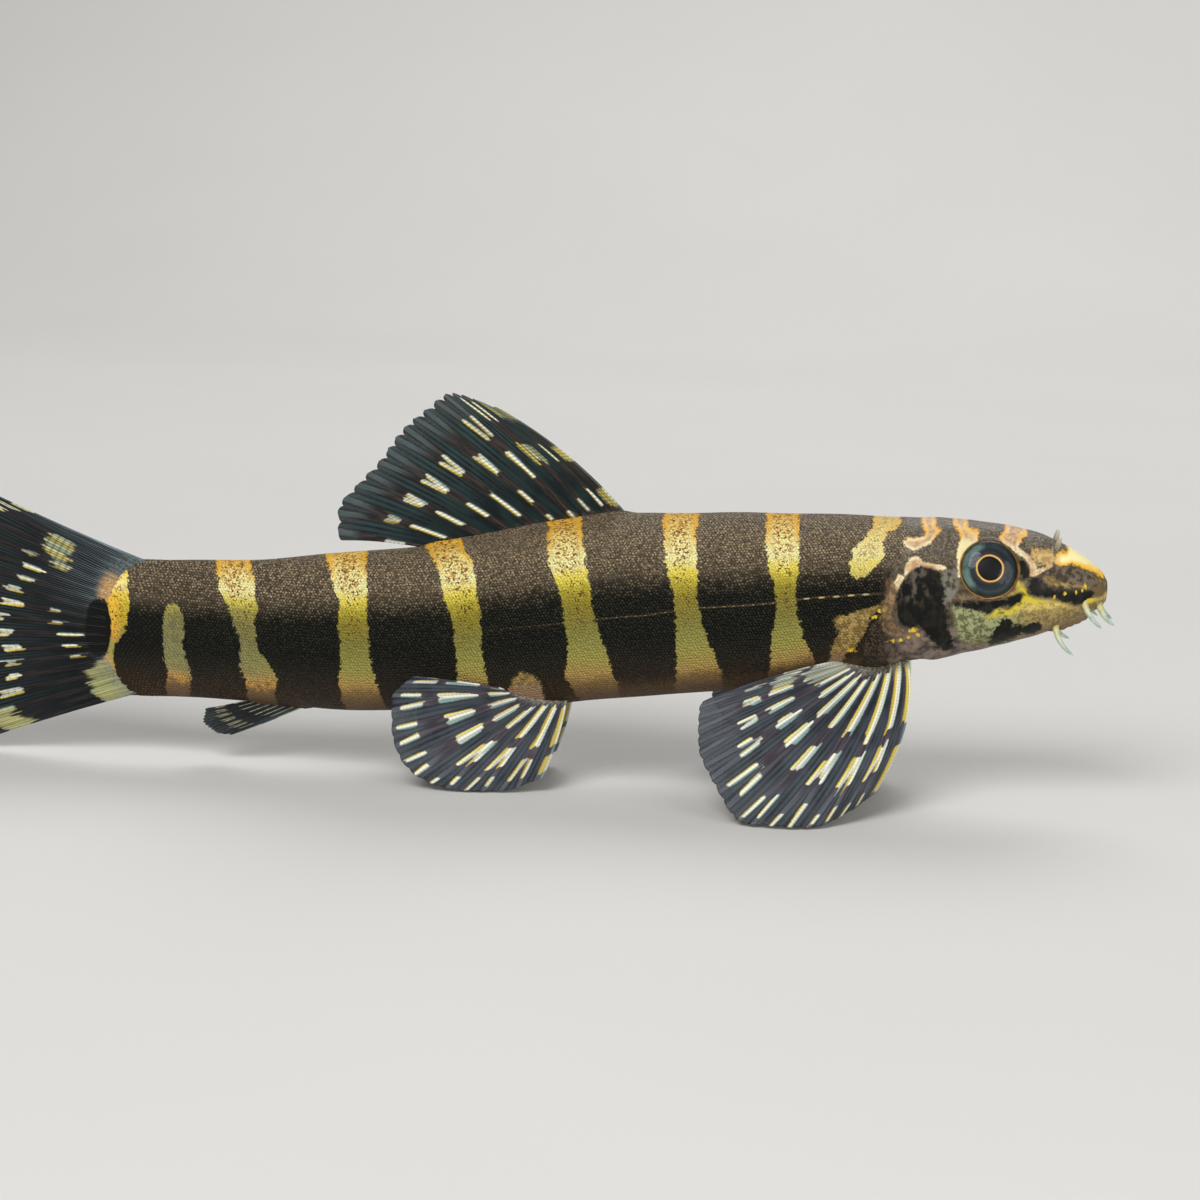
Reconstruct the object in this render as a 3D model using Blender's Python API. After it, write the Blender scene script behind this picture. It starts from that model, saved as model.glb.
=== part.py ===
# Serpent loach at the size of life, propped on its paired fins and the lower lobe of its tail fin.
# Lengths are millimetres until a mesh is made. +X runs to the snout, +Y to the fish's left, +Z up.
import bmesh
import bpy
import numpy as np

MM = 0.001
GAP = 0.3               # clearance between each part and what it grows from
MIDDLE_X = -0.745        # middle of the whole length, set over the origin when a mesh is made
HEAD_RING = 56          # points round a section of the head
BODY_RING = 40          # points round a section of trunk and tail

# The body from the root of the tail fin to the snout:
# x, height of the back, height of the belly, half width, share of the height where it is widest
STATIONS = np.array((
    (-27.2, 12.80, 4.60, 0.36, 0.50),
    (-26.0, 13.25, 4.12, 0.66, 0.50),
    (-22.0, 13.40, 4.18, 1.38, 0.50),
    (-16.7, 13.69, 4.20, 2.15, 0.48),
    (-12.1, 14.32, 3.95, 2.70, 0.46),
    (-7.4, 14.90, 4.12, 3.20, 0.45),
    (-3.6, 15.53, 4.48, 3.55, 0.45),
    (0.3, 16.51, 4.92, 3.85, 0.45),
    (3.6, 17.22, 5.32, 4.05, 0.45),
    (7.1, 17.86, 5.76, 4.20, 0.45),
    (12.0, 18.14, 6.38, 4.30, 0.45),
    (16.5, 18.36, 7.06, 4.30, 0.45),
    (21.4, 18.47, 8.42, 4.20, 0.44),
    (25.5, 18.49, 9.20, 4.05, 0.44),
    (29.1, 18.47, 9.88, 3.68, 0.45),
    (31.6, 18.30, 10.60, 3.32, 0.45),
    (33.6, 17.90, 11.22, 2.95, 0.45),
    (35.1, 17.34, 11.80, 2.58, 0.45),
    (36.5, 16.60, 12.45, 2.12, 0.46),
    (37.4, 15.96, 13.02, 1.66, 0.48),
    (37.9, 15.52, 13.28, 1.24, 0.50),
    (38.15, 15.10, 13.64, 0.72, 0.50),
))
SNOUT_X = 38.15
SNOUT_CAP = 0.12        # how far the rounded end stands past the last section
UPPER_ROUND = 2.15      # exponent of the section above its widest level, 2 being an ellipse
LOWER_ROUND = 2.40

# Where the gill cover ends: the parting between head and trunk
GILL_X = 24.3
GILL_TOP_FORWARD = 1.5
GILL_BELLY_FORWARD = 3.6
GILL_RAISE = 0.22       # the gill cover stands this far out from the flank behind it
GILL_FRONT_X = 28.6
TAIL_PART_X = -12.3     # parting between trunk and tail
TAIL_END_X = -26.0      # end of the flesh at the top and bottom of the tail root
TAIL_END_BULGE = 0.9

EYE_CENTRE = np.array((30.58, 2.68, 15.74))
EYE_AXIS = np.array((0.10, 0.94, 0.33))
EYE_RADIUS = 1.93
EYE_FRONT_DEPTH = 0.92
EYE_REAR_DEPTH = 1.65
EYE_RIM_RAISE = 0.18
EYE_RIM_RADIUS = 2.15
EYE_RIM_WIDTH = 0.42

# Muscle at the root of the pectoral fin: centre, spread and height
PECTORAL_LOBE = np.array((23.6, 10.2))
PECTORAL_LOBE_SPREAD = np.array((1.5, 1.6))
PECTORAL_LOBE_RAISE = 0.5

# The mouth under the snout: a crescent from corner to corner, with a lip on each side of it
MOUTH_FRONT_X = 36.7
MOUTH_CORNER_X = 35.45
MOUTH_HALF_WIDTH = 1.2
MOUTH_LINE_RADIUS = 0.14
LIP_RADIUS = 0.27
LIP_OFFSET = 0.38       # from the mouth line to the middle of each lip
LIP_SINK = 0.13         # how deep the middle of a lip lies under the plain skin
LIP_SEGMENTS = 12
TUBE_SIDES = 8

# Each nostril is a pit with a soft pointed flap standing in front of it
NOSTRIL = (33.60, 1.98)
NOSTRIL_PIT = (0.36, 0.26, 0.45)
FLAP = (34.85, 1.5)
FLAP_SIZE = (0.36, 0.27, 1.35)

# Fins: the root line runs from the first ray to the last; tips are knots along the outer margin
RAY_RIDGE = 0.14        # how far a ray stands out of each face at its root
RAY_TIP_RIDGE = 0.07
FIN_ROWS = 7
MEMBRANE_HALF = 0.25    # half the thickness of the membrane
ROOT_HALF = 0.36        # half the thickness of a fin at its root
MARGIN_NOTCH = 0.035    # how far the membrane falls short of the ray tips

DORSAL_RAYS = 10
DORSAL_CROWD = -0.39    # below 0 the first rays stand closer together, above 0 the last ones
DORSAL_ROOT_X = (7.3, -5.3)
DORSAL_TIPS = ((-1.6, 0.0, 24.5), (-4.7, 0.0, 25.3), (-6.5, 0.0, 23.9), (-7.9, 0.0, 22.3),
               (-9.2, 0.0, 20.6), (-10.6, 0.0, 18.9), (-11.7, 0.0, 17.1), (-11.7, 0.0, 15.2))
DORSAL_BOW = ((0.72, 0.0, 0.84), (0.0, 0.0, 0.35))     # of the first ray and of those behind
DORSAL_BOW_SHARE = 0.4  # share of the rays over which the first bow passes into the other

ANAL_RAYS = 8
ANAL_ROOT_X = (-13.2, -16.6)
ANAL_TIPS = ((-18.6, 0.0, 1.75), (-19.7, 0.0, 1.95), (-20.4, 0.0, 2.75), (-20.3, 0.0, 3.5))
ANAL_BOW = -0.15

CAUDAL_RAYS = 18
CAUDAL_ROOT_Z = (13.1, 4.4)
CAUDAL_TIPS = ((-36.7, 0.0, 18.1), (-39.6, 0.0, 18.9), (-40.4, 0.0, 17.5), (-39.9, 0.0, 14.8),
               (-38.9, 0.0, 11.5), (-38.5, 0.0, 8.6), (-38.8, 0.0, 5.6), (-39.6, 0.0, 2.6),
               (-39.0, 0.0, 0.25), (-36.6, 0.0, -0.3))
CAUDAL_BOW = 0.25

PECTORAL_RAYS = 12
PECTORAL_CROWD = 0.42
PECTORAL_ROOT = ((25.7, 9.25), (23.7, 8.95), (21.9, 9.15))
PECTORAL_TIPS = ((24.0, 6.3, 1.7), (22.5, 8.2, 0.75), (20.4, 10.0, -0.25), (18.3, 10.5, -0.35),
                 (16.2, 10.3, 0.0), (14.2, 9.2, 2.0), (12.8, 7.6, 4.4), (12.7, 6.0, 6.5),
                 (15.1, 5.0, 7.8))
PECTORAL_BOW = ((2.0, 0.5, 0.4), (0.0, 0.6, 0.4))     # of the first ray and of the last

PELVIC_RAYS = 8
PELVIC_ROOT = ((3.9, 5.55), (0.7, 6.1))
PELVIC_TIPS = ((2.7, 4.0, 0.9), (0.1, 4.8, -0.2), (-2.4, 5.2, -0.5), (-4.7, 5.25, 0.55),
               (-6.3, 5.1, 1.7), (-7.1, 4.8, 3.8), (-7.2, 4.6, 5.8), (-5.9, 4.4, 7.3))
PELVIC_BOW = ((0.5, 0.5, 0.2), (0.0, 0.5, 0.3))

# Barbels: place of the root on the skin as x and height, then the tip
BARBELS = {
    "barbel_rostral_inner": ((37.85, 13.62), (38.75, 1.2, 12.35)),
    "barbel_rostral_outer": ((36.85, 13.85), (37.9, 2.3, 12.3)),
    "barbel_maxillary": ((35.1, 12.2), (36.2, 3.0, 10.6)),
}
BARBEL_ROOT_RADIUS = 0.27
BARBEL_TIP_RADIUS = 0.1
BARBEL_REACH = 0.7      # how far a barbel stands out before it turns to its tip
BARBEL_SEGMENTS = 6

# Base colour and roughness of each kind of part
FINISHES = {
    "skin": ((0.16, 0.10, 0.06, 1.0), 0.45),
    "eye": ((0.03, 0.04, 0.05, 1.0), 0.1),
    "fin": ((0.35, 0.38, 0.30, 1.0), 0.4),
    "barbel": ((0.62, 0.60, 0.48, 1.0), 0.5),
}


def through(knots, values, at):
    """A smooth curve through the values at rising knots that never swings past them."""
    step = np.diff(knots)
    rise = np.diff(values) / step
    slope = np.concatenate(([rise[0]], np.zeros(len(knots) - 2), [rise[-1]]))
    for i in range(1, len(knots) - 1):
        if rise[i - 1] * rise[i] > 0:
            first = 2 * step[i] + step[i - 1]
            second = step[i] + 2 * step[i - 1]
            slope[i] = (first + second) / (first / rise[i - 1] + second / rise[i])
    at = np.clip(at, knots[0], knots[-1])
    k = np.clip(np.searchsorted(knots, at) - 1, 0, len(knots) - 2)
    t = (at - knots[k]) / step[k]
    return (
        values[k] * (1 + 2 * t) * (1 - t) ** 2
        + values[k + 1] * t ** 2 * (3 - 2 * t)
        + step[k] * t * (1 - t) * (slope[k] * (1 - t) - slope[k + 1] * t)
    )


def section(x):
    """Height of the back, height of the belly, half width and widest level at x."""
    back, belly, half, share = (through(STATIONS[:, 0], STATIONS[:, i], x) for i in (1, 2, 3, 4))
    return back, belly, half, belly + share * (back - belly)


def eased(value, start, end):
    """0 before start, 1 after end and a soft step between."""
    t = np.clip((value - start) / (end - start), 0.0, 1.0)
    return t * t * (3 - 2 * t)


def head_relief(x, z):
    """How far the skin of the head stands out from the plain section."""
    from_eye = np.hypot(x - EYE_CENTRE[0], z - EYE_CENTRE[2])
    rim = EYE_RIM_RAISE * np.exp(-(((from_eye - EYE_RIM_RADIUS) / EYE_RIM_WIDTH) ** 2))
    return rim + GILL_RAISE * (1 - eased(x, GILL_FRONT_X - 1.5, GILL_FRONT_X + 0.8))


def trunk_relief(x, z):
    """How far the skin of the trunk stands out: the muscle that moves the pectoral fin."""
    away = ((x - PECTORAL_LOBE[0]) / PECTORAL_LOBE_SPREAD[0]) ** 2
    away = away + ((z - PECTORAL_LOBE[1]) / PECTORAL_LOBE_SPREAD[1]) ** 2
    return PECTORAL_LOBE_RAISE * np.exp(-away)


def no_relief(x, z):
    return np.zeros_like(x)


def skin(x, turn, relief):
    """Points of the skin at x and at the angle turn round the section, 0 being the fish's left."""
    back, belly, half, level = section(x)
    across, up = np.cos(turn), np.sin(turn)
    power = 2 / np.where(up > 0, UPPER_ROUND, LOWER_ROUND)
    y = half * np.abs(across) ** power
    z = level + np.where(up > 0, back - level, level - belly) * np.sign(up) * np.abs(up) ** power
    y = y + relief(x, z) * np.minimum(1.0, 1.6 * y / half)
    return np.stack((x, y * np.sign(across), z), axis=-1)


def fullness(points, relief):
    """Below 0 inside the body, 0 on its skin and above 0 outside."""
    x, y, z = np.moveaxis(points, -1, 0)
    back, belly, half, level = section(x)
    above = z > level
    height = np.where(above, back - level, level - belly)
    power = np.where(above, UPPER_ROUND, LOWER_ROUND)
    y = np.maximum(np.abs(y) - relief(x, z), 0.0)
    return ((y / half) ** power + (np.abs(z - level) / height) ** power) ** (1 / power) - 1


def off_skin(points, relief):
    """Distance from the skin, and the direction that leads straight away from it."""
    nudge = 0.01
    value = fullness(points, relief)
    slope = np.stack([
        (fullness(points + step, relief) - fullness(points - step, relief)) / (2 * nudge)
        for step in np.eye(3) * nudge
    ], axis=-1)
    steep = np.linalg.norm(slope, axis=-1, keepdims=True)
    return value / steep[..., 0], slope / steep


def held_off(points, relief, exact=False):
    """Points moved so that none is nearer the skin than the gap, or so that all are at the gap."""
    for _ in range(8):
        distance, away = off_skin(points, relief)
        lack = GAP - distance
        if not exact:
            lack = np.maximum(lack, 0.0)
        points = points + away * lack[..., None]
    return points


def make_part(name, points, faces, finish):
    """One named object from points in millimetres and triangles, faced outwards."""
    points = np.asarray(points, float) - (MIDDLE_X, 0.0, 0.0)
    faces = np.asarray(faces)
    corners = points[faces]
    if np.einsum("ij,ij->", corners[:, 0], np.cross(corners[:, 1], corners[:, 2])) < 0:
        faces = faces[:, ::-1]
    mesh = bpy.data.meshes.new(name)
    mesh.from_pydata((points * MM).tolist(), [], faces.tolist())
    colour, roughness = FINISHES[finish]
    material = bpy.data.materials.new(name)
    material.use_nodes = True
    shader = material.node_tree.nodes["Principled BSDF"]
    shader.inputs["Base Color"].default_value = colour
    shader.inputs["Roughness"].default_value = roughness
    mesh.materials.append(material)
    part = bpy.data.objects.new(name, mesh)
    bpy.context.scene.collection.objects.link(part)
    return part


def tube_faces(rows, ring):
    """Triangles of a tube of rings, closed by a fan at each end; the fan centres come last."""
    faces = []
    for i in range(rows - 1):
        for j in range(ring):
            a, b = i * ring + j, i * ring + (j + 1) % ring
            faces += [(a, b, b + ring), (a, b + ring, a + ring)]
    first, last = rows * ring, rows * ring + 1
    for j in range(ring):
        k = (j + 1) % ring
        faces.append((first, k, j))
        faces.append((last, (rows - 1) * ring + j, (rows - 1) * ring + k))
    return faces


def body_length(name, start, end, rows, ring, relief, crowd=1.0, end_cap=None):
    """A length of the body between two rings whose x differs round the section."""
    turn = np.linspace(0, 2 * np.pi, ring, endpoint=False)
    share = 1 - (1 - np.linspace(0, 1, rows)) ** crowd
    x = start(turn)[None, :] + (end(turn) - start(turn))[None, :] * share[:, None]
    points = skin(x, np.broadcast_to(turn, x.shape), relief)
    caps = [points[0].mean(axis=0), points[-1].mean(axis=0)]
    if end_cap is not None:
        caps[1][0] = end_cap
    points = np.concatenate((points.reshape(-1, 3), caps))
    return make_part(name, points, tube_faces(rows, ring), "skin")


def gill_edge(turn):
    """x of the rear edge of the gill cover round the section."""
    up = np.sin(turn)
    forward = np.where(up > 0, GILL_TOP_FORWARD * up ** 4, GILL_BELLY_FORWARD * np.abs(up) ** 3)
    return GILL_X + forward


def ray_shares(count, crowd=0.0):
    """Shares of the way from the first ray to the last at which the rays stand."""
    even = np.linspace(0, 1, count)
    return even + crowd * even * (1 - even)


def along(knots, shares):
    """Points at shares of the run along the smooth line through a few knots."""
    knots = np.array(knots, float)
    run = np.concatenate(([0.0], np.cumsum(np.linalg.norm(np.diff(knots, axis=0), axis=1))))
    return np.stack([through(run, knots[:, i], shares * run[-1]) for i in range(3)], axis=-1)


def fin(name, roots, tips, bow, relief, side=1):
    """A thin sheet spread by rays, each a ridge in both faces; what would sink is laid on the floor."""
    across = np.linspace(0, 1, FIN_ROWS + 1)[:, None, None]
    middle = (roots + tips) / 2 + bow

    def rays(s):
        return (1 - s) ** 2 * roots + 2 * s * (1 - s) * middle + s ** 2 * tips

    short = rays(across * (1 - MARGIN_NOTCH))
    sheet = np.empty((FIN_ROWS + 1, 2 * len(roots) - 1, 3))
    sheet[:, 0::2] = rays(across)
    sheet[:, 1::2] = (short[:, :-1] + short[:, 1:]) / 2
    out = np.cross(np.gradient(sheet, axis=0), np.gradient(sheet, axis=1))
    out /= np.linalg.norm(out, axis=-1, keepdims=True)
    half = ROOT_HALF + (MEMBRANE_HALF - ROOT_HALF) * across[:, :, 0] ** 0.5
    half = np.repeat(half, sheet.shape[1], axis=1)
    half[:, 0::2] += RAY_RIDGE + (RAY_TIP_RIDGE - RAY_RIDGE) * across[:, :, 0]
    faces_of = []
    for sign in (1, -1):
        face = sheet + sign * out * half[..., None]
        if relief is not None:
            face = held_off(face, relief)
            face[0] = held_off(face[0], relief, exact=True)
        laid = 2 * half * np.maximum(sign * out[..., 2], 0.0)
        face[..., 2] = np.maximum(face[..., 2], laid)
        faces_of.append(face.reshape(-1, 3))
    points = np.concatenate(faces_of) * (1, side, 1)
    rows, columns = sheet.shape[:2]
    other = rows * columns
    faces = []
    for i in range(rows - 1):
        for j in range(columns - 1):
            a = i * columns + j
            b, c, d = a + 1, a + columns + 1, a + columns
            faces += [(a, b, c), (a, c, d)]
            faces += [(a + other, c + other, b + other), (a + other, d + other, c + other)]
    rim = [j for j in range(columns)]
    rim += [i * columns + columns - 1 for i in range(1, rows)]
    rim += [(rows - 1) * columns + j for j in range(columns - 2, -1, -1)]
    rim += [i * columns for i in range(rows - 2, 0, -1)]
    for a, b in zip(rim, rim[1:] + rim[:1]):
        faces += [(b, a, a + other), (b, a + other, b + other)]
    return make_part(name, points, faces, "fin")


def tube(name, path, radii, finish, sides=TUBE_SIDES, tip_length=0.0):
    """A closed round cord along a path, with a radius for each point of it."""
    course = np.gradient(path, axis=0)
    course /= np.linalg.norm(course, axis=1, keepdims=True)
    sideways = np.cross(course, (0.0, 0.0, 1.0))
    sideways /= np.linalg.norm(sideways, axis=1, keepdims=True)
    upwards = np.cross(sideways, course)
    turn = np.linspace(0, 2 * np.pi, sides, endpoint=False)[None, :, None]
    ring = np.cos(turn) * sideways[:, None] + np.sin(turn) * upwards[:, None]
    points = path[:, None] + ring * np.asarray(radii)[:, None, None]
    ends = np.stack((path[0], path[-1] + course[-1] * tip_length))
    points = np.concatenate((points.reshape(-1, 3), ends))
    return make_part(name, points, tube_faces(len(path), sides), finish)


def barbel(name, root, tip, side):
    """A soft feeler: it leaves the skin squarely and turns to its tip."""
    x, z = root
    _, _, half, _ = section(np.array(x))
    start = held_off(np.array((x, half * 0.6, z)), head_relief, exact=True)
    _, away = off_skin(start, head_relief)
    bend = start + away * BARBEL_REACH
    tip = np.array(tip)
    s = np.linspace(0, 1, BARBEL_SEGMENTS + 1)[:, None]
    path = (1 - s) ** 2 * start + 2 * s * (1 - s) * bend + s ** 2 * tip
    radii = np.linspace(BARBEL_ROOT_RADIUS, BARBEL_TIP_RADIUS, len(path))
    tube(name, path * (1, side, 1), radii, "barbel", tip_length=BARBEL_TIP_RADIUS)


def eyeball(name, side, grow, ring=24, rows=9):
    """A ball that is flatter in front than behind, with its axis turned a little up and forward."""
    axis = EYE_AXIS / np.linalg.norm(EYE_AXIS)
    sideways = np.cross(axis, (0.0, 0.0, 1.0))
    sideways /= np.linalg.norm(sideways)
    upwards = np.cross(sideways, axis)
    lift = np.linspace(-np.pi / 2, np.pi / 2, rows + 2)[1:-1]
    depth = np.where(lift > 0, EYE_FRONT_DEPTH, EYE_REAR_DEPTH) + grow
    turn = np.linspace(0, 2 * np.pi, ring, endpoint=False)[None, :, None]
    reach = ((EYE_RADIUS + grow) * np.cos(lift))[:, None, None]
    points = EYE_CENTRE + (depth * np.sin(lift))[:, None, None] * axis
    points = points + reach * (np.cos(turn) * sideways + np.sin(turn) * upwards)
    poles = (EYE_CENTRE - axis * (EYE_REAR_DEPTH + grow), EYE_CENTRE + axis * (EYE_FRONT_DEPTH + grow))
    points = np.concatenate((points.reshape(-1, 3), poles)) * (1, side, 1)
    return make_part(name, points, tube_faces(rows, ring), "eye")


def skin_height(x, y, upper):
    """Height of the plain skin over or under the point x, y."""
    back, belly, half, level = section(x)
    power = UPPER_ROUND if upper else LOWER_ROUND
    share = np.maximum(1 - np.abs(y / half) ** power, 0.0) ** (1 / power)
    return level + share * ((back if upper else belly) - level)


def mouth_line(name, offset, sink, radius):
    """A tapering crescent under the snout, the offset leading forwards from the mouth line."""
    share = np.linspace(-1, 1, LIP_SEGMENTS + 1)
    y = share * (MOUTH_HALF_WIDTH + offset)
    x = MOUTH_FRONT_X + offset - (MOUTH_FRONT_X - MOUTH_CORNER_X) * np.abs(share) ** 2.2
    x = x - offset * 0.5 * np.abs(share)
    z = skin_height(x, y, upper=False) + sink
    radii = radius * (1 - 0.55 * np.abs(share) ** 3)
    return tube(name, np.stack((x, y, z), axis=-1), radii, "skin")


def bead(name, x, y, size):
    """An ellipsoid with its middle on the skin above the point x, y."""
    rows, ring = 7, 12
    lift = np.linspace(-np.pi / 2, np.pi / 2, rows + 2)[1:-1, None]
    turn = np.linspace(0, 2 * np.pi, ring, endpoint=False)[None, :]
    ball = np.stack((
        np.cos(lift) * np.cos(turn), np.cos(lift) * np.sin(turn), np.sin(lift) + 0 * turn,
    ), axis=-1).reshape(-1, 3)
    ball = np.concatenate((ball, ((0, 0, -1), (0, 0, 1))))
    centre = (x, y, skin_height(np.array(x), y, upper=True))
    return make_part(name, ball * size + centre, tube_faces(rows, ring), "skin")


def keep_largest(mesh):
    """Drops every closed surface but the one with the most faces."""
    shape = bmesh.new()
    shape.from_mesh(mesh)
    left = set(shape.faces)
    islands = []
    while left:
        island = [left.pop()]
        for face in island:
            near = {other for edge in face.edges for other in edge.link_faces} & left
            left -= near
            island.extend(near)
        islands.append(island)
    islands.sort(key=len)
    scraps = [face for island in islands[:-1] for face in island]
    bmesh.ops.delete(shape, geom=scraps, context="FACES")
    shape.to_mesh(mesh)
    shape.free()


def combine(part, tools, operation):
    """Joins the tools to the part or takes them out of it, and removes them."""
    group = bpy.data.collections.new("tools")
    for tool in tools:
        group.objects.link(tool)
    change = part.modifiers.new("combine", "BOOLEAN")
    change.operation = operation
    change.operand_type = "COLLECTION"
    change.collection = group
    change.solver = "EXACT"
    graph = bpy.context.evaluated_depsgraph_get()
    mesh = bpy.data.meshes.new_from_object(part.evaluated_get(graph))
    part.modifiers.clear()
    keep_largest(mesh)
    part.data = mesh
    for tool in tools:
        bpy.data.objects.remove(tool)
    bpy.data.collections.remove(group)


for leftover in list(bpy.data.objects):
    bpy.data.objects.remove(leftover)

# The body in three lengths: head, trunk and tail
head = body_length(
    "head", gill_edge, lambda turn: np.full_like(turn, SNOUT_X), 42, HEAD_RING, head_relief,
    crowd=1.35, end_cap=SNOUT_X + SNOUT_CAP,
)
body_length(
    "trunk", lambda turn: np.full_like(turn, TAIL_PART_X + GAP / 2),
    lambda turn: gill_edge(turn) - GAP, 28, BODY_RING, trunk_relief,
)
body_length(
    "tail", lambda turn: TAIL_END_X - TAIL_END_BULGE * np.cos(turn) ** 2,
    lambda turn: np.full_like(turn, TAIL_PART_X - GAP / 2), 11, BODY_RING, no_relief,
)

# Lips and nostril flaps are joined to the head; eye sockets, mouth line and nostrils are cut
flaps = [bead(f"flap_{side}", FLAP[0], FLAP[1] * side, FLAP_SIZE) for side in (1, -1)]
lips = [
    mouth_line("upper_lip", LIP_OFFSET, LIP_SINK, LIP_RADIUS),
    mouth_line("lower_lip", -LIP_OFFSET, LIP_SINK, LIP_RADIUS),
]
combine(head, flaps + lips, "UNION")
pits = [bead(f"pit_{side}", NOSTRIL[0], NOSTRIL[1] * side, NOSTRIL_PIT) for side in (1, -1)]
sockets = [eyeball(f"socket_{side}", side, GAP) for side in (1, -1)]
line = [mouth_line("mouth", 0.0, 0.0, MOUTH_LINE_RADIUS)]
combine(head, pits + sockets + line, "DIFFERENCE")
for side_name, side in (("left", 1), ("right", -1)):
    eyeball(f"eye_{side_name}", side, 0.0)
    for barbel_name, (root, tip) in BARBELS.items():
        barbel(f"{barbel_name}_{side_name}", root, tip, side)

# Fins along the middle line
shares = ray_shares(DORSAL_RAYS, DORSAL_CROWD)
x = DORSAL_ROOT_X[0] + (DORSAL_ROOT_X[1] - DORSAL_ROOT_X[0]) * shares
roots = np.stack((x, 0 * x, section(x)[0] + GAP), axis=-1)
passed = np.clip(shares / DORSAL_BOW_SHARE, 0, 1)[:, None]
bow = (1 - passed) * DORSAL_BOW[0] + passed * DORSAL_BOW[1]
fin("dorsal_fin", roots, along(DORSAL_TIPS, shares), bow, trunk_relief)

x = np.linspace(*ANAL_ROOT_X, ANAL_RAYS)
roots = np.stack((x, 0 * x, section(x)[1] - GAP), axis=-1)
fin("anal_fin", roots, along(ANAL_TIPS, ray_shares(ANAL_RAYS)), (0.0, 0.0, ANAL_BOW), no_relief)

z = np.linspace(*CAUDAL_ROOT_Z, CAUDAL_RAYS)
spread = np.linspace(-1, 1, CAUDAL_RAYS)
x = TAIL_END_X - TAIL_END_BULGE * (1 - spread ** 2) - GAP
roots = np.stack((x, 0 * x, z), axis=-1)
bow = np.stack((0 * x, 0 * x, CAUDAL_BOW * spread), axis=-1)
fin("caudal_fin", roots, along(CAUDAL_TIPS, ray_shares(CAUDAL_RAYS)), bow, None)


def paired_fin(name, root_knots, tips, shares, bow):
    """The same fin on both flanks, its roots set just off the skin."""
    root_knots = np.array(root_knots)
    run = np.linspace(0, 1, len(root_knots))
    x, z = (through(run, root_knots[:, i], shares) for i in (0, 1))
    roots = np.stack((x, 0.7 * section(x)[2], z), axis=-1)
    roots = held_off(roots, trunk_relief, exact=True)
    bows = (1 - shares)[:, None] * bow[0] + shares[:, None] * bow[1]
    for side_name, side in (("left", 1), ("right", -1)):
        fin(f"{name}_{side_name}", roots, along(tips, shares), bows, trunk_relief, side)


shares = ray_shares(PECTORAL_RAYS, PECTORAL_CROWD)
paired_fin("pectoral_fin", PECTORAL_ROOT, PECTORAL_TIPS, shares, PECTORAL_BOW)
paired_fin("pelvic_fin", PELVIC_ROOT, PELVIC_TIPS, ray_shares(PELVIC_RAYS), PELVIC_BOW)
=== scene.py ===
# %% [markdown]
# # A serpent loach at the size of life
# The serpent loach is a slender fish of fast streams, about as long as a finger. It props itself
# on its paired fins, and its body is ringed by dark bands with gold bars between them. The solids
# give its outline. This script grows the living surface over them: one skin with its markings,
# small scales, layered eyes, barbels, and fins of thin skin stretched over branched rays.
# Lengths are millimetres in the solids' own axes until a mesh is made: +X to the snout, +Z up.

# %% Load the solids and keep their box
import math
import bpy
import numpy as np
from mathutils import Matrix, Vector


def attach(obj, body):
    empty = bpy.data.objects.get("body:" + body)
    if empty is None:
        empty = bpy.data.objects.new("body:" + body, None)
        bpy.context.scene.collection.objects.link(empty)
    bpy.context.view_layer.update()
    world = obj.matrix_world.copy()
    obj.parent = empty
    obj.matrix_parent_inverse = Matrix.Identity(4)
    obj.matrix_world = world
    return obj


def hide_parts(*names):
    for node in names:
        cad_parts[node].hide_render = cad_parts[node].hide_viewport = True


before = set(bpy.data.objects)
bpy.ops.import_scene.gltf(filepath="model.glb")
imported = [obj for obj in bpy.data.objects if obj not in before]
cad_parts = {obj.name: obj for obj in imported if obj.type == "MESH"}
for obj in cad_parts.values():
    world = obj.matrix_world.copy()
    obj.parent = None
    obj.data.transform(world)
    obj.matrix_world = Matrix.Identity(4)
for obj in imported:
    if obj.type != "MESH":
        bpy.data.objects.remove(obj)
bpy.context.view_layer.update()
print("nodes of the solids:", len(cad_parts))

# %% [markdown]
# ## Small tools
# Every shape below is worked out as arrays of points. `through` draws a smooth line through a few
# measured values and never swings past them, which suits a body that only swells and tapers.
# `eased` is a soft step up, and `window` a soft step up and down again.

# %% Curves, steps and meshes
MM = 0.001
MIDDLE_X = -0.745       # middle of the whole length, which the solids set over the origin
SIDES = (("left", 1), ("right", -1))
random = np.random.default_rng(8)


def through(knots, values, at):
    """A smooth curve through the values at rising knots that never swings past them."""
    knots, values = np.asarray(knots, float), np.asarray(values, float)
    step = np.diff(knots)
    rise = np.diff(values) / step
    slope = np.concatenate(([rise[0]], np.zeros(len(knots) - 2), [rise[-1]]))
    for i in range(1, len(knots) - 1):
        if rise[i - 1] * rise[i] > 0:
            first = 2 * step[i] + step[i - 1]
            second = step[i] + 2 * step[i - 1]
            slope[i] = (first + second) / (first / rise[i - 1] + second / rise[i])
    at = np.clip(at, knots[0], knots[-1])
    k = np.clip(np.searchsorted(knots, at) - 1, 0, len(knots) - 2)
    t = (at - knots[k]) / step[k]
    return (
        values[k] * (1 + 2 * t) * (1 - t) ** 2
        + values[k + 1] * t ** 2 * (3 - 2 * t)
        + step[k] * t * (1 - t) * (slope[k] * (1 - t) - slope[k + 1] * t)
    )


def eased(value, start, end):
    """0 at start, 1 at end and a soft step between."""
    t = np.clip((value - start) / (end - start), 0.0, 1.0)
    return t * t * (3 - 2 * t)


def window(value, start, full, until, end):
    """A soft step up from start to full, and down again from until to end."""
    return eased(value, start, full) * (1 - eased(value, until, end))


def bump(distance, width):
    """1 at no distance, falling away to 0 over about two widths."""
    return np.exp(-((distance / width) ** 2))


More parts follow.
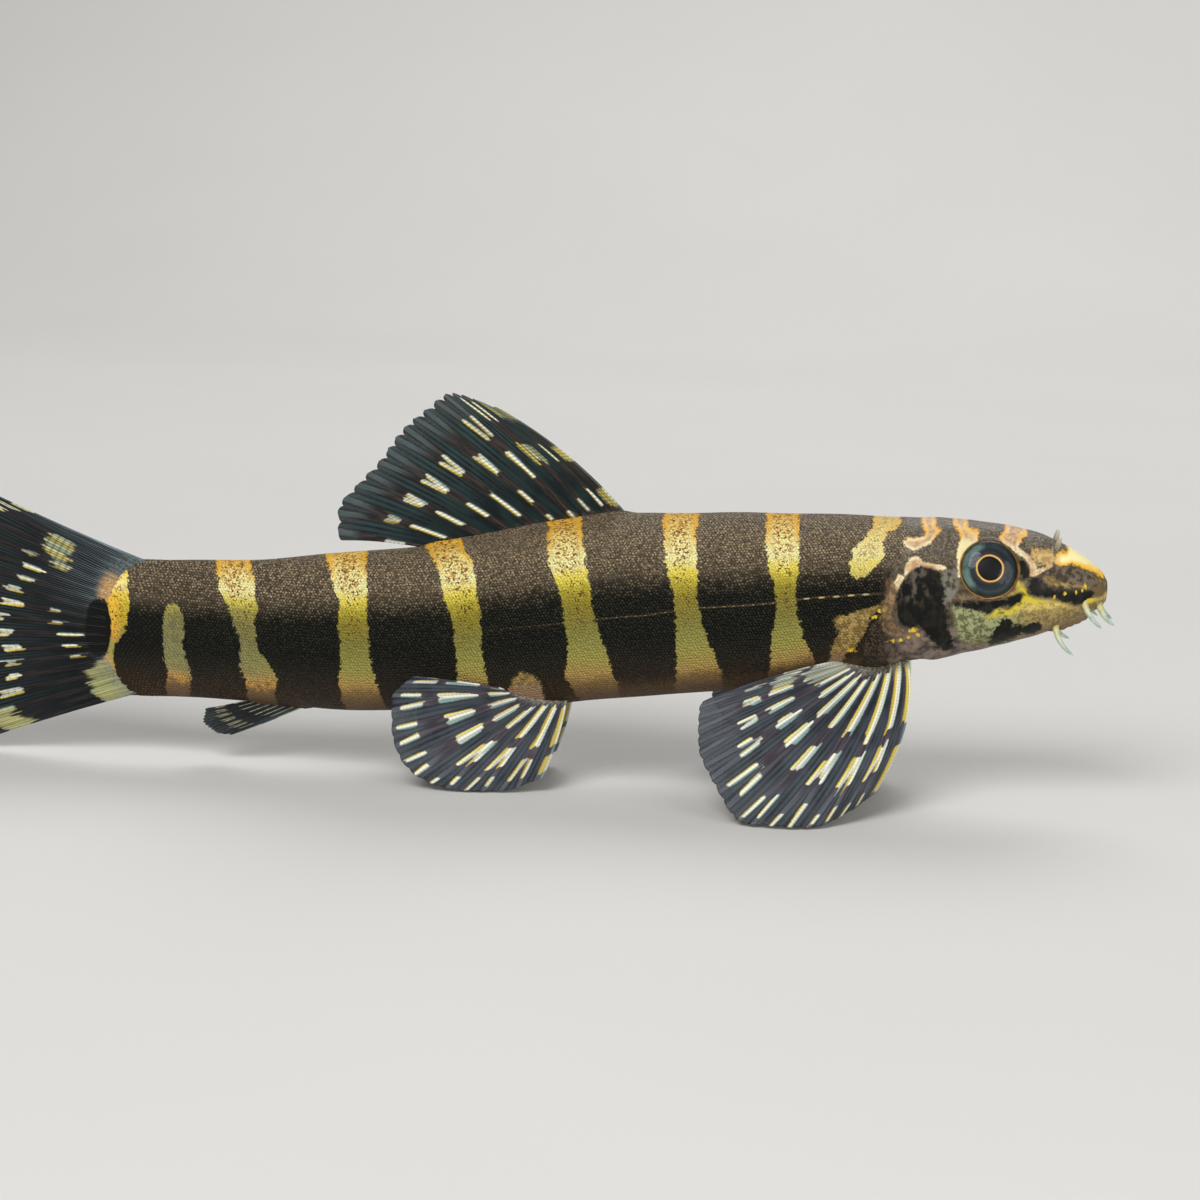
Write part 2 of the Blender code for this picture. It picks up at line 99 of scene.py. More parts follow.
def unit(vectors):
    """The same directions with a length of 1."""
    return vectors / np.maximum(np.linalg.norm(vectors, axis=-1, keepdims=True), 1e-12)


def run_along(path):
    """How long a path is up to each of its points."""
    return np.concatenate(([0.0], np.cumsum(np.linalg.norm(np.diff(path, axis=0), axis=1))))

# %% [markdown]
# Points and faces become an object in one place, so every piece is named, shaded, given its
# numbers and tied to the model's body in the same way.

# %% Pieces from points
def smooth_mesh(name, points, faces):
    """An object in the scene from points in metres and groups of faces."""
    mesh = bpy.data.meshes.new(name)
    mesh.from_pydata(points.tolist(), [], [face for group in faces for face in group.tolist()])
    mesh.polygons.foreach_set("use_smooth", np.ones(len(mesh.polygons), bool))
    thing = bpy.data.objects.new(name, mesh)
    bpy.context.scene.collection.objects.link(thing)
    return thing


def make_piece(name, points, faces, material, slot, values=None, unwrap=None):
    """One piece from points in millimetres; values are numbers held by the points."""
    placed = (np.asarray(points, float).reshape(-1, 3) - (MIDDLE_X, 0.0, 0.0)) * MM
    piece = smooth_mesh(name, placed, faces)
    piece.data.materials.append(material)
    for key, numbers in (values or {}).items():
        held = piece.data.attributes.new(key, "FLOAT", "POINT")
        held.data.foreach_set("value", np.ascontiguousarray(numbers, np.float32).ravel())
    if unwrap is not None:
        layer = piece.data.uv_layers.new(name="OFBake")
        layer.data.foreach_set("uv", np.ascontiguousarray(unwrap, np.float32).ravel())
    piece.data.update()
    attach(piece, "root")
    return piece


def triangles_of(piece):
    return sum(len(polygon.vertices) - 2 for polygon in piece.data.polygons)


def grid_faces(rows, columns, wrap=False):
    """Four-sided faces between neighbouring points of a grid stored row by row."""
    across = columns if wrap else columns - 1
    i, j = np.meshgrid(np.arange(rows - 1), np.arange(across), indexing="ij")
    a, b = i * columns + j, i * columns + (j + 1) % columns
    return np.stack((a, b, b + columns, a + columns), axis=-1).reshape(-1, 4)

# %% [markdown]
# ## The body's plain form
# From the side a loach is a long spindle. These stations are the solids' own: the height of the
# back and of the belly, half the width, and the share of the height where the body is widest.
# A section is a little fuller than an ellipse, and fuller below than above.

# %% Stations of the body
STATIONS = np.array((
    (-27.2, 12.80, 4.60, 0.36, 0.50), (-26.0, 13.25, 4.12, 0.66, 0.50),
    (-22.0, 13.40, 4.18, 1.38, 0.50), (-16.7, 13.69, 4.20, 2.15, 0.48),
    (-12.1, 14.32, 3.95, 2.70, 0.46), (-7.4, 14.90, 4.12, 3.20, 0.45),
    (-3.6, 15.53, 4.48, 3.55, 0.45), (0.3, 16.51, 4.92, 3.85, 0.45),
    (3.6, 17.22, 5.32, 4.05, 0.45), (7.1, 17.86, 5.76, 4.20, 0.45),
    (12.0, 18.14, 6.38, 4.30, 0.45), (16.5, 18.36, 7.06, 4.30, 0.45),
    (21.4, 18.47, 8.42, 4.20, 0.44), (25.5, 18.49, 9.20, 4.05, 0.44),
    (29.1, 18.47, 9.88, 3.68, 0.45), (31.6, 18.30, 10.60, 3.32, 0.45),
    (33.6, 17.90, 11.22, 2.95, 0.45), (35.1, 17.34, 11.80, 2.58, 0.45),
    (36.5, 16.60, 12.45, 2.12, 0.46), (37.4, 15.96, 13.02, 1.66, 0.48),
    (37.9, 15.52, 13.28, 1.24, 0.50), (38.15, 15.10, 13.64, 0.72, 0.50),
))
SNOUT_X = 38.15
SNOUT_CAP = 0.12
UPPER_ROUND = 2.15
LOWER_ROUND = 2.40
TAIL_END_X = -25.4      # last ring of the flesh, before it bulges between the fin's outer rays
TAIL_END_BULGE = 1.8
TAIL_WEDGE = 4.2        # length over which the flesh thins to an edge


def section(x):
    """Height of the back, height of the belly, half width and widest level at x."""
    back, belly, half, share = (through(STATIONS[:, 0], STATIONS[:, i], x) for i in (1, 2, 3, 4))
    return back, belly, half, belly + share * (back - belly)


def plain_skin(x, turn):
    """Points of the plain body at x and at the angle turn, 0 being the fish's left flank."""
    back, belly, half, level = section(x)
    across, up = np.cos(turn), np.sin(turn)
    power = 2 / np.where(up > 0, UPPER_ROUND, LOWER_ROUND)
    y = half * np.abs(across) ** power * np.sign(across)
    reach = np.where(up > 0, back - level, level - belly)
    return np.stack((x, y, level + reach * np.sign(up) * np.abs(up) ** power), axis=-1)


def row_places():
    """x of each ring of the skin: close together on the head, closest at the snout."""
    places = [TAIL_END_X]
    spacing = ((-30, 0.10), (-25, 0.24), (20, 0.24), (24, 0.11), (29, 0.09), (35, 0.07),
               (37.4, 0.05), (38.15, 0.012))
    where, gap = np.array(spacing).T
    while places[-1] < SNOUT_X:
        places.append(places[-1] + float(np.interp(places[-1], where, gap)))
    return np.array(places[:-1] + [SNOUT_X])


RING = 216              # points round a section, the first at the middle of the belly
ring_x = row_places()
turns = np.linspace(-0.5 * np.pi, 1.5 * np.pi, RING, endpoint=False)
print("rings of the skin:", len(ring_x), "with", RING, "points each")

# %% [markdown]
# ## Relief of the head and body
# On the real head the skin is drawn over bone and soft tissue: a low rim round the eye, the gill
# cover that stands proud of the flank and ends in a free edge, two nostrils on each side, and a
# small mouth slung under the snout between fleshy lips. Each form is a short formula of the
# distance to a named place, so that it can be moved or softened alone. Together they push the
# plain skin outwards or inwards along its own normal.

# %% Places of the head's forms
EYE_CENTRE = np.array((30.58, 2.68, 15.74))
EYE_AXIS = unit(np.array((0.10, 0.94, 0.33)))
EYE_RADIUS = 1.90
EYE_FLOOR = -0.5        # how deep the skin dips behind the eye
SKIN_MEETS_EYE = (1.80, 1.93)    # distances from the eye's axis between which it dips
EYE_RIM = (1.96, 0.12, 0.07)     # radius, width and height of the fold round the eye
GILL_X = 24.3
GILL_TOP_FORWARD = 1.5
GILL_BELLY_FORWARD = 3.6
GILL_RAISE = 0.20
NOSTRILS = ((33.60, 1.98, 0.17, 0.34), (34.90, 1.46, 0.12, 0.12))   # x, y, radius, depth
MOUTH_FRONT_X = 36.7
MOUTH_CORNER_X = 35.45
MOUTH_HALF_WIDTH = 1.2
LIP_OFFSET = 0.34
PECTORAL_LOBE = (23.6, 10.2, 1.5, 1.6)     # x, height and how far it spreads both ways
PELVIC_LOBE = (2.2, 5.9, 2.0, 0.7)
SCALE_DEPTH = 0.05      # the skin lies this far inside the flesh where scales cover it

# %% Distances on the head
def gill_edge(up):
    """x of the gill cover's free edge, where up is the sine of the turn round the section."""
    forward = np.where(up > 0, GILL_TOP_FORWARD * up ** 4, GILL_BELLY_FORWARD * np.abs(up) ** 3)
    return GILL_X + forward


def from_eye(points):
    """Distance from the eye's axis, and height along that axis, for either flank."""
    away = np.stack((points[..., 0], np.abs(points[..., 1]), points[..., 2]), axis=-1) - EYE_CENTRE
    height = away @ EYE_AXIS
    return np.linalg.norm(away - height[..., None] * EYE_AXIS, axis=-1), height


def mouth_gap(x, y):
    """Distance in front of the mouth line, which is a crescent from corner to corner."""
    share = np.abs(y) / MOUTH_HALF_WIDTH
    return x - MOUTH_FRONT_X + (MOUTH_FRONT_X - MOUTH_CORNER_X) * share ** 2.2

# %% Relief
def relief(points, up):
    """How far the living skin stands out from the plain form."""
    x, y, z = np.moveaxis(points, -1, 0)
    radius, height = from_eye(points)
    out = EYE_RIM[2] * bump(radius - EYE_RIM[0], EYE_RIM[1]) * (height > -1)
    # Gill cover, its free edge and the fold of skin behind it
    past = x - gill_edge(up)
    low = 1 - eased(up, 0.25, 0.62)     # over the nape the cover runs smoothly into the back
    cover = low * eased(past, -0.12, 0.16) + (1 - low) * 0.3 * eased(past, -2.6, 1.2)
    out += GILL_RAISE * cover * (1 - eased(x, 27.1, 29.4))
    out -= 0.10 * bump(past + 0.18, 0.15) * (np.abs(up) < 0.97) * low
    # Shallow creases: behind the cheek, and the slit under the eye
    cheek = np.hypot(x - 26.0, (z - 13.2) * 0.8) - 2.75
    out -= 0.07 * bump(cheek, 0.16) * eased(x, 26.6, 27.6) * (1 - eased(z, 14.2, 15.4))
    slit = z - 13.55 - 0.055 * (x - 30.4) ** 2
    out -= 0.09 * bump(slit, 0.10) * window(x, 28.6, 29.2, 32.2, 32.9) * (height > -2)
    # Nostrils, each a pit with a raised rim
    for place_x, place_y, size, depth in NOSTRILS:
        away = np.hypot(x - place_x, np.abs(y) - place_y) + 9 * (up < 0)
        out += 0.09 * bump(away - size * 1.7, size * 0.6) - depth * bump(away, size)
    # Lips either side of the mouth line, and folds running back from its corners
    gap = mouth_gap(x, y)
    inside = 1 - eased(np.abs(y), MOUTH_HALF_WIDTH - 0.10, MOUTH_HALF_WIDTH + 0.30)
    lips = 0.20 * bump(gap - LIP_OFFSET, 0.20) + 0.22 * bump(gap + LIP_OFFSET, 0.22)
    lips -= 0.30 * bump(gap, 0.075)
    crumple = 1 + 0.25 * np.sin(9 * y) * np.sin(6 * x)
    out += (up < 0) * (x > 33.5) * inside * lips * crumple
    # Muscle at the root of the pectoral fin, and low ridges that carry the other fins
    for (lobe_x, lobe_z, long, tall), raise_by, here in (
            (PECTORAL_LOBE, 0.42, x < 26.5), (PELVIC_LOBE, 0.22, up < 0)):
        out += raise_by * bump(np.hypot((x - lobe_x) / long, (z - lobe_z) / tall), 1.0) * here
    out += 0.22 * bump(y, 0.45) * (up > 0) * window(x, -6.6, -5.0, 6.8, 8.2)
    out += 0.20 * bump(y, 0.40) * (up < 0) * window(x, -17.4, -16.4, -13.6, -12.6)
    # The faint uneven fullness of flesh
    out += 0.025 * np.sin(0.9 * x + 1.3) * np.sin(1.1 * z)
    out += 0.012 * np.sin(3.1 * x + 2 * z) * (x > 24)
    out -= SCALE_DEPTH * (1 - eased(past, -0.5, 3.0 * (1 - low))) * eased(x, TAIL_END_X, -24.6)
    return out


def sunk_behind_eye(points):
    """Skin points, moved in where the eye sits."""
    radius, height = from_eye(points)
    sink = (1 - eased(radius, *SKIN_MEETS_EYE)) * (height > -1.2)
    side = np.sign(points[..., 1:2])
    axis = EYE_AXIS * np.concatenate((side * 0 + 1, side, side * 0 + 1), axis=-1)
    return points + axis * (sink * (EYE_FLOOR - height))[..., None]

# %% [markdown]
# ## Grow the skin
# The skin is one closed grid: rings of points from the tail root to the snout. Its normals are
# taken from the grid itself, then the relief moves each point along its normal. Rings near the
# tail bulge back between the outer rays of the tail fin and thin to an edge, as the flesh does.

# %% Skin points
def skin_points(x, turn):
    """Points of the living skin for any arrays of x and turn."""
    points = plain_skin(x, turn)
    nudge = 0.004
    ahead, behind = plain_skin(x + nudge, turn), plain_skin(x - nudge, turn)
    over, under = plain_skin(x, turn + nudge), plain_skin(x, turn - nudge)
    normal = unit(np.cross(over - under, ahead - behind))
    points = sunk_behind_eye(points + normal * relief(points, np.sin(turn))[..., None])
    near_end = eased(TAIL_END_X - x, -TAIL_WEDGE, 0.0)
    points[..., 0] -= TAIL_END_BULGE * np.cos(turn) ** 2 * near_end
    points[..., 1] *= np.clip((x - TAIL_END_X + 0.02) / TAIL_WEDGE, 0.0, 1.0) ** 0.8
    return points, normal


x_grid, turn_grid = np.meshgrid(ring_x, turns, indexing="ij")
body, _ = skin_points(x_grid, turn_grid)
cap_turn = np.linspace(0, 0.5 * np.pi, 7)[1:-1]
last = body[-1]
middle = last.mean(axis=0)
caps = [middle + (last - middle) * np.cos(a) + (SNOUT_CAP * np.sin(a), 0, 0) for a in cap_turn]
body_rings = np.concatenate((body, np.array(caps)))
ring_count = len(body_rings)


def closing_faces(ring, first, flip):
    """Closes a ring whose points are mirrored left to right with a strip across it."""
    half = ring // 2
    strip = [(j, j + 1, ring - j - 1, ring - j) for j in range(1, half - 1)]
    ends = [(0, 1, ring - 1), (half - 1, half, half + 1)]
    way = -1 if flip else 1
    return [(np.array(group) + first)[:, ::way] for group in (strip, ends)]


skin_faces = [grid_faces(ring_count, RING, wrap=True)]
skin_faces += closing_faces(RING, 0, False) + closing_faces(RING, (ring_count - 1) * RING, True)
print("skin points:", body_rings.shape[0] * RING)

# %% [markdown]
# ## Where the markings lie
# The bars are painted on, so they are stored as distances: each point of the skin knows how many
# millimetres it is from the edge of the nearest bar, cream mark, dark patch or gold fleck, with
# inside counted as negative. Bars and patches are drawn on the flank as x along the fish and the
# share of the body's height. The same sums later give each scale its colour, so skin and scales
# carry one pattern.

# %% Edges of the whole bars
LEVELS = (0.0, 0.1, 0.2, 0.3, 0.4, 0.5, 0.6, 0.7, 0.8, 0.9, 1.0)
BARS = (
    # rear edge at each level, then front edge
    ((-17.2, -17.2, -17.3, -17.5, -17.5, -17.75, -18.1, -18.4, -18.95, -19.3, -19.6),
     (-15.3, -15.3, -15.1, -15.6, -16.3, -16.5, -16.6, -16.5, -16.7, -16.9, -17.3)),
    ((-10.6, -10.7, -10.9, -10.85, -10.8, -10.9, -11.0, -11.0, -11.4, -11.8, -12.3),
     (-7.9, -8.05, -8.3, -8.7, -8.9, -8.95, -9.1, -9.2, -9.25, -9.4, -9.6)),
    ((-3.0, -3.1, -3.1, -3.1, -3.2, -3.35, -3.6, -4.0, -4.4, -4.8, -5.8),
     (-0.9, -1.0, -1.1, -1.3, -1.5, -1.6, -1.7, -1.9, -2.1, -2.5, -3.4)),
    ((4.9, 4.5, 3.9, 4.1, 4.0, 3.8, 3.6, 3.2, 2.7, 2.4, 2.2),
     (7.4, 7.3, 7.0, 6.6, 6.2, 5.8, 5.5, 5.3, 4.9, 4.7, 4.4)),
    ((10.9, 11.0, 11.0, 11.05, 11.0, 10.9, 10.7, 10.35, 10.1, 9.9, 9.7),
     (14.2, 14.0, 13.8, 13.3, 12.8, 12.5, 12.2, 12.2, 12.1, 11.9, 11.9)),
    ((17.0, 17.0, 17.0, 17.1, 17.2, 17.3, 17.2, 16.9, 16.6, 16.4, 16.3),
     (20.2, 20.0, 19.6, 19.1, 18.8, 18.6, 18.5, 18.5, 18.5, 18.5, 18.4)),
)

# %% [markdown]
# Every other mark is a closed outline that was read from the photo, point by point: x along the
# fish, then the share of the height. A share below 0 or above 1 lets a mark run over the edge.

# %% Part bars
PATCHES = {}
PATCHES["bar"] = {
    "half bar on the tail stalk": (
        (-22.7, -0.2), (-22.7, 0.1), (-22.6, 0.2), (-22.8, 0.3), (-22.9, 0.4), (-23.0, 0.6),
        (-22.7, 0.68), (-22.3, 0.7), (-21.8, 0.67), (-21.5, 0.6), (-21.4, 0.5), (-21.6, 0.4),
        (-21.2, 0.3), (-20.9, 0.2), (-21.1, 0.1), (-21.2, -0.2)),
    "short bar behind the nape": (
        (23.3, 1.2), (23.2, 0.98), (22.9, 0.92), (22.5, 0.87), (22.0, 0.82), (21.8, 0.75),
        (21.9, 0.68), (22.3, 0.645), (22.8, 0.66), (23.2, 0.7), (23.6, 0.75), (24.0, 0.8),
        (23.9, 0.88), (24.2, 0.93), (24.9, 0.98), (25.0, 1.2)),
    "root of the tail fin": (
        (-30.0, 1.2), (-26.3, 1.2), (-26.0, 0.97), (-25.6, 0.9), (-25.5, 0.8), (-25.4, 0.7),
        (-25.4, 0.6), (-25.6, 0.5), (-26.0, 0.42), (-26.4, 0.36), (-26.5, 0.28), (-26.2, 0.15),
        (-25.9, 0.0), (-25.9, -0.2), (-30.0, -0.2)),
}

# %% Tan patches and streak
PATCHES["tan"] = {
    "streak along the snout": (
        (33.8, 0.64), (34.1, 0.665), (34.5, 0.67), (35.4, 0.635), (36.6, 0.615), (37.1, 0.60),
        (37.0, 0.56), (36.5, 0.545), (35.9, 0.55), (35.4, 0.54), (34.9, 0.545), (34.4, 0.57),
        (34.0, 0.61)),
    "above the pelvic fin": (
        (0.1, -0.2), (0.1, 0.1), (0.5, 0.19), (1.0, 0.23), (1.7, 0.22), (2.2, 0.18), (2.5, 0.1),
        (2.7, -0.2)),
    "above the pectoral fin": (
        (20.9, 0.39), (21.5, 0.42), (22.2, 0.43), (23.0, 0.45), (23.9, 0.48), (24.2, 0.53),
        (24.1, 0.62), (24.45, 0.66), (24.8, 0.6), (24.75, 0.5), (24.6, 0.42), (24.2, 0.4),
        (23.7, 0.43), (23.3, 0.4), (23.1, 0.33), (22.8, 0.26), (22.4, 0.2), (21.8, 0.16),
        (21.5, 0.05), (21.3, -0.2), (20.2, -0.2), (20.7, 0.1), (20.9, 0.2), (21.4, 0.3)),
}

# %% Cream squiggles of the head
PATCHES["cream"] = {
    "first squiggle": (
        (25.1, 0.88), (25.2, 0.84), (25.8, 0.82), (26.3, 0.84), (26.9, 0.87), (27.1, 0.91),
        (27.5, 0.955), (27.1, 0.975), (26.9, 1.2), (25.9, 1.2), (26.3, 0.97), (26.5, 0.94),
        (26.4, 0.91), (25.8, 0.9), (25.4, 0.9)),
    "arch over the gill spot": (
        (24.9, 0.56), (24.6, 0.62), (24.9, 0.67), (25.3, 0.67), (25.3, 0.72), (25.5, 0.77),
        (26.0, 0.79), (26.4, 0.755), (26.8, 0.74), (27.3, 0.73), (27.9, 0.715), (27.9, 0.69),
        (27.5, 0.695), (26.9, 0.71), (26.3, 0.72), (25.9, 0.71), (25.6, 0.69), (25.3, 0.65),
        (25.1, 0.6)),
    "bar behind the eye": (
        (28.2, 1.2), (28.3, 0.98), (28.6, 0.95), (28.75, 0.91), (28.7, 0.86), (28.6, 0.8),
        (28.6, 0.74), (28.65, 0.66), (28.75, 0.64), (29.05, 0.72), (29.5, 0.82), (29.75, 0.88),
        (29.8, 0.92), (29.9, 0.95), (29.3, 0.965), (29.1, 0.98), (29.2, 1.2)),
    "bar before the eye": (
        (31.4, 0.88), (31.2, 0.92), (31.3, 0.95), (31.6, 0.98), (31.7, 1.2), (33.0, 1.2),
        (32.9, 0.97), (32.55, 0.95), (32.5, 0.91), (32.4, 0.88), (32.7, 0.84), (33.1, 0.81),
        (33.5, 0.76), (33.6, 0.71), (33.9, 0.72), (34.5, 0.78), (34.6, 0.76), (34.0, 0.69),
        (33.5, 0.64), (33.25, 0.65), (33.2, 0.7), (33.1, 0.74), (32.8, 0.79), (32.3, 0.82),
        (31.9, 0.85)),
    "top of the snout": (
        (34.8, 0.8), (34.8, 0.88), (35.1, 0.93), (35.5, 0.96), (35.8, 1.2), (39.0, 1.2),
        (38.5, 0.93), (37.6, 0.9), (37.0, 0.87), (36.3, 0.86), (35.8, 0.84), (35.4, 0.8),
        (35.0, 0.78)),
}

# %% Cheek
PATCHES["cheek"] = {
    "cheek and chin": (
        (28.35, 0.44), (28.9, 0.42), (29.6, 0.4), (30.3, 0.36), (30.8, 0.33), (31.2, 0.38),
        (31.5, 0.36), (32.0, 0.35), (32.5, 0.41), (32.9, 0.47), (33.3, 0.46), (33.8, 0.44),
        (34.5, 0.42), (35.2, 0.38), (35.8, 0.34), (36.1, 0.3), (36.5, 0.3), (37.0, 0.35),
        (37.5, 0.36), (39.0, 0.3), (39.0, -0.2), (33.0, -0.2), (31.0, 0.0), (30.5, 0.08),
        (29.4, 0.11), (28.9, 0.18), (28.6, 0.3)),
    "in front of the eye": (
        (31.9, 0.47), (32.3, 0.52), (32.4, 0.6), (32.7, 0.58), (33.0, 0.52), (33.1, 0.46),
        (32.9, 0.44), (32.7, 0.5)),
}

# %% Flesh coloured edges
PATCHES["pink"] = {
    "round the nostril": (
        (33.25, 0.82), (33.3, 0.88), (33.7, 0.9), (34.2, 0.91), (34.6, 0.92), (34.7, 0.86),
        (34.6, 0.8), (34.4, 0.77), (33.9, 0.75), (33.5, 0.77)),
    "edge of the gill cover": (
        (23.75, 0.33), (24.1, 0.45), (24.2, 0.58), (24.5, 0.64), (24.85, 0.62), (24.75, 0.5),
        (24.7, 0.4), (24.9, 0.33), (25.5, 0.29), (25.3, 0.25), (24.4, 0.26)),
    "crease under the eye": (
        (28.5, 0.48), (28.6, 0.525), (29.4, 0.50), (30.4, 0.485), (31.4, 0.49), (32.2, 0.53),
        (32.8, 0.60), (33.0, 0.57), (32.6, 0.515), (32.0, 0.475), (31.0, 0.455), (29.8, 0.465)),
}

# %% Black marks of the head
PATCHES["ink"] = {
    "spot on the gill cover": (
        (25.9, 0.7), (26.4, 0.72), (27.0, 0.7), (27.5, 0.67), (27.75, 0.6), (27.8, 0.5),
        (27.95, 0.42), (28.2, 0.34), (28.35, 0.24), (28.6, 0.14), (28.6, 0.08), (27.9, 0.09),
        (27.4, 0.16), (27.0, 0.22), (26.6, 0.28), (26.3, 0.31), (25.6, 0.31), (25.1, 0.33),
        (24.9, 0.4), (24.85, 0.5), (25.0, 0.6), (25.4, 0.66)),
    "stripe under the eye": (
        (28.5, 0.455), (29.2, 0.455), (30.0, 0.445), (30.8, 0.44), (31.6, 0.445), (32.1, 0.465),
        (32.6, 0.5), (32.9, 0.47), (32.7, 0.42), (32.2, 0.375), (31.8, 0.38), (31.4, 0.39),
        (30.9, 0.35), (30.4, 0.355), (29.6, 0.40), (28.9, 0.415), (28.5, 0.43)),
    "stripe along the snout": (
        (33.3, 0.62), (34.0, 0.68), (34.5, 0.73), (34.9, 0.77), (35.3, 0.78), (35.8, 0.81),
        (36.3, 0.83), (36.9, 0.84), (37.4, 0.78), (37.5, 0.65), (37.2, 0.62), (36.9, 0.66),
        (36.6, 0.6), (36.0, 0.61), (35.4, 0.62), (34.9, 0.64), (34.5, 0.66), (34.1, 0.63),
        (34.4, 0.58), (34.9, 0.555), (35.4, 0.55), (35.9, 0.56), (36.5, 0.55), (36.9, 0.56),
        (37.3, 0.5), (37.2, 0.4), (36.8, 0.34), (36.4, 0.31), (36.1, 0.32), (35.7, 0.36),
        (35.2, 0.4), (34.9, 0.44), (34.4, 0.43), (33.9, 0.44), (33.4, 0.46), (33.1, 0.5),
        (33.1, 0.57)),
    "jaw": (
        (30.8, 0.09), (31.1, 0.2), (31.6, 0.27), (32.1, 0.26), (32.3, 0.2), (32.8, 0.2),
        (33.2, 0.18), (33.9, 0.20), (34.3, 0.14), (33.8, 0.05), (32.9, 0.09), (32.2, 0.06),
        (31.6, 0.04), (31.0, 0.04)),
    "root of the pectoral fin": (
        (22.9, 0.12), (23.0, 0.22), (23.25, 0.32), (23.5, 0.37), (23.85, 0.36), (24.1, 0.29),
        (24.05, 0.2), (24.5, 0.12), (24.6, 0.02), (24.2, -0.2), (23.0, -0.2), (22.7, 0.02)),
    "before the eye": (
        (32.4, 0.77), (32.7, 0.78), (33.0, 0.74), (33.1, 0.68), (32.95, 0.62), (32.75, 0.61),
        (32.5, 0.66)),
}

# %% Gold flecks, the tail's spot and the lateral line
GOLD_FLECKS = (
    # x, share of the height, half length, half height
    (36.72, 0.6, 0.13, 0.20), (35.5, 0.47, 0.10, 0.10), (36.2, 0.49, 0.11, 0.12),
    (36.55, 0.53, 0.08, 0.08), (34.8, 0.44, 0.08, 0.08), (26.05, 0.28, 0.30, 0.15),
    (26.35, 0.245, 0.16, 0.12), (25.75, 0.235, 0.16, 0.10), (25.25, 0.22, 0.14, 0.08),
    (24.75, 0.22, 0.26, 0.08), (23.55, 0.39, 0.16, 0.12), (23.85, 0.43, 0.10, 0.10),
    (22.2, 0.175, 0.18, 0.10), (37.1, 0.33, 0.22, 0.12),
)
TAIL_SPOT = (-27.35, 8.6, 0.75, 0.85, 1.75)   # x, height, half widths both ways, half height
TAIL_SPOT_ROUND = 2.6
FAR_OFF = 9.0           # stands for no mark nearby
LINE_X = (-20.0, 5.0, 9.0, 12.0, 16.0, 19.0, 21.0, 23.6)
LINE_LEVEL = (0.50, 0.49, 0.50, 0.53, 0.535, 0.545, 0.54, 0.545)

# %% [markdown]
# A signed distance to a closed outline is the distance to its nearest edge, made negative inside.
# Heights are first turned from shares to millimetres, so that a distance means the same in every
# direction on the flank.

# %% Distances to the markings
def to_outline(x, rise, height, outline):
    """Signed distance in millimetres from points of the flank to a closed outline."""
    outline = np.array(outline, float)
    tall = np.interp(outline[:, 0], STATIONS[:, 0], STATIONS[:, 1] - STATIONS[:, 2])
    corners = np.stack((outline[:, 0], outline[:, 1] * tall), axis=-1)
    v = rise * height
    nearest = np.full(x.shape, 1e9)
    inside = np.zeros(x.shape, bool)
    for (ax, av), (bx, bv) in zip(corners, np.roll(corners, -1, axis=0)):
        ex, ev = bx - ax, bv - av
        t = np.clip(((x - ax) * ex + (v - av) * ev) / (ex * ex + ev * ev), 0, 1)
        nearest = np.minimum(nearest, np.hypot(x - ax - t * ex, v - av - t * ev))
        crosses = (av > v) != (bv > v)
        inside ^= crosses & (x < ax + (v - av) * ex / np.where(ev == 0, 1e-9, ev))
    return np.where(inside, -nearest, nearest)


def to_tail_spot(x, z):
    """Distance to the black spot at the tail fin's root: an oval that is flat towards the fin."""
    middle_x, middle_z, front, rear, tall = TAIL_SPOT
    wide = np.where(x > middle_x, front, rear)
    away = np.abs((x - middle_x) / wide) ** TAIL_SPOT_ROUND
    away += np.abs((z - middle_z) / tall) ** TAIL_SPOT_ROUND
    return (away ** (1 / TAIL_SPOT_ROUND) - 1) * 0.8

# %% All numbers of the markings
def markings(points):
    """The numbers that the skin's colours are read from, for points on the body."""
    shape = points.shape[:-1]
    points = points.reshape(-1, 3)
    x = np.minimum(points[:, 0], SNOUT_X)
    back, belly, _, _ = section(x)
    rise = np.clip((points[:, 2] - belly) / (back - belly), 0.0, 1.0)
    height = np.interp(x, STATIONS[:, 0], STATIONS[:, 1] - STATIONS[:, 2])
    found = {
        key: np.minimum.reduce([to_outline(x, rise, height, p) for p in patches.values()])
        for key, patches in PATCHES.items()}
    for edges in BARS:
        rear, front = (through(LEVELS, edge, rise) for edge in edges)
        found["bar"] = np.minimum(found["bar"], np.maximum(rear - x, x - front))
    found["gold"] = np.full(x.shape, FAR_OFF)
    for fleck_x, level, long, tall in GOLD_FLECKS:
        away = np.hypot((x - fleck_x) / long, (rise - level) * height / tall)
        found["gold"] = np.minimum(found["gold"], (away - 1) * min(long, tall))
    found["line"] = np.abs(rise - np.interp(x, LINE_X, LINE_LEVEL)) * height
    found["rise"], found["place"] = rise, x
    found["orbit"] = from_eye(points)[0] - EYE_RIM[0]
    found["spot"] = to_tail_spot(x, points[:, 2])
    return {key: numbers.reshape(shape) for key, numbers in found.items()}

# %% [markdown]
# ## Materials from nodes
# Paint on a museum model is built in layers: a ground colour that changes from belly to back, then
# bars, patches and flecks with soft ragged edges. The nodes do the same. `Nodes` gives them short
# names, and `Value` lets sums of them be written with + - *. Colours are the 0 to 255 values of a
# colour picker.

# %% Colours
def paint(red, green, blue):
    """A colour picker's red, green and blue as the linear colour that a shader takes."""
    share = np.array((red, green, blue)) / 255
    linear = np.where(share <= 0.04045, share / 12.92, ((share + 0.055) / 1.055) ** 2.4)
    return (*[float(v) for v in linear], 1.0)

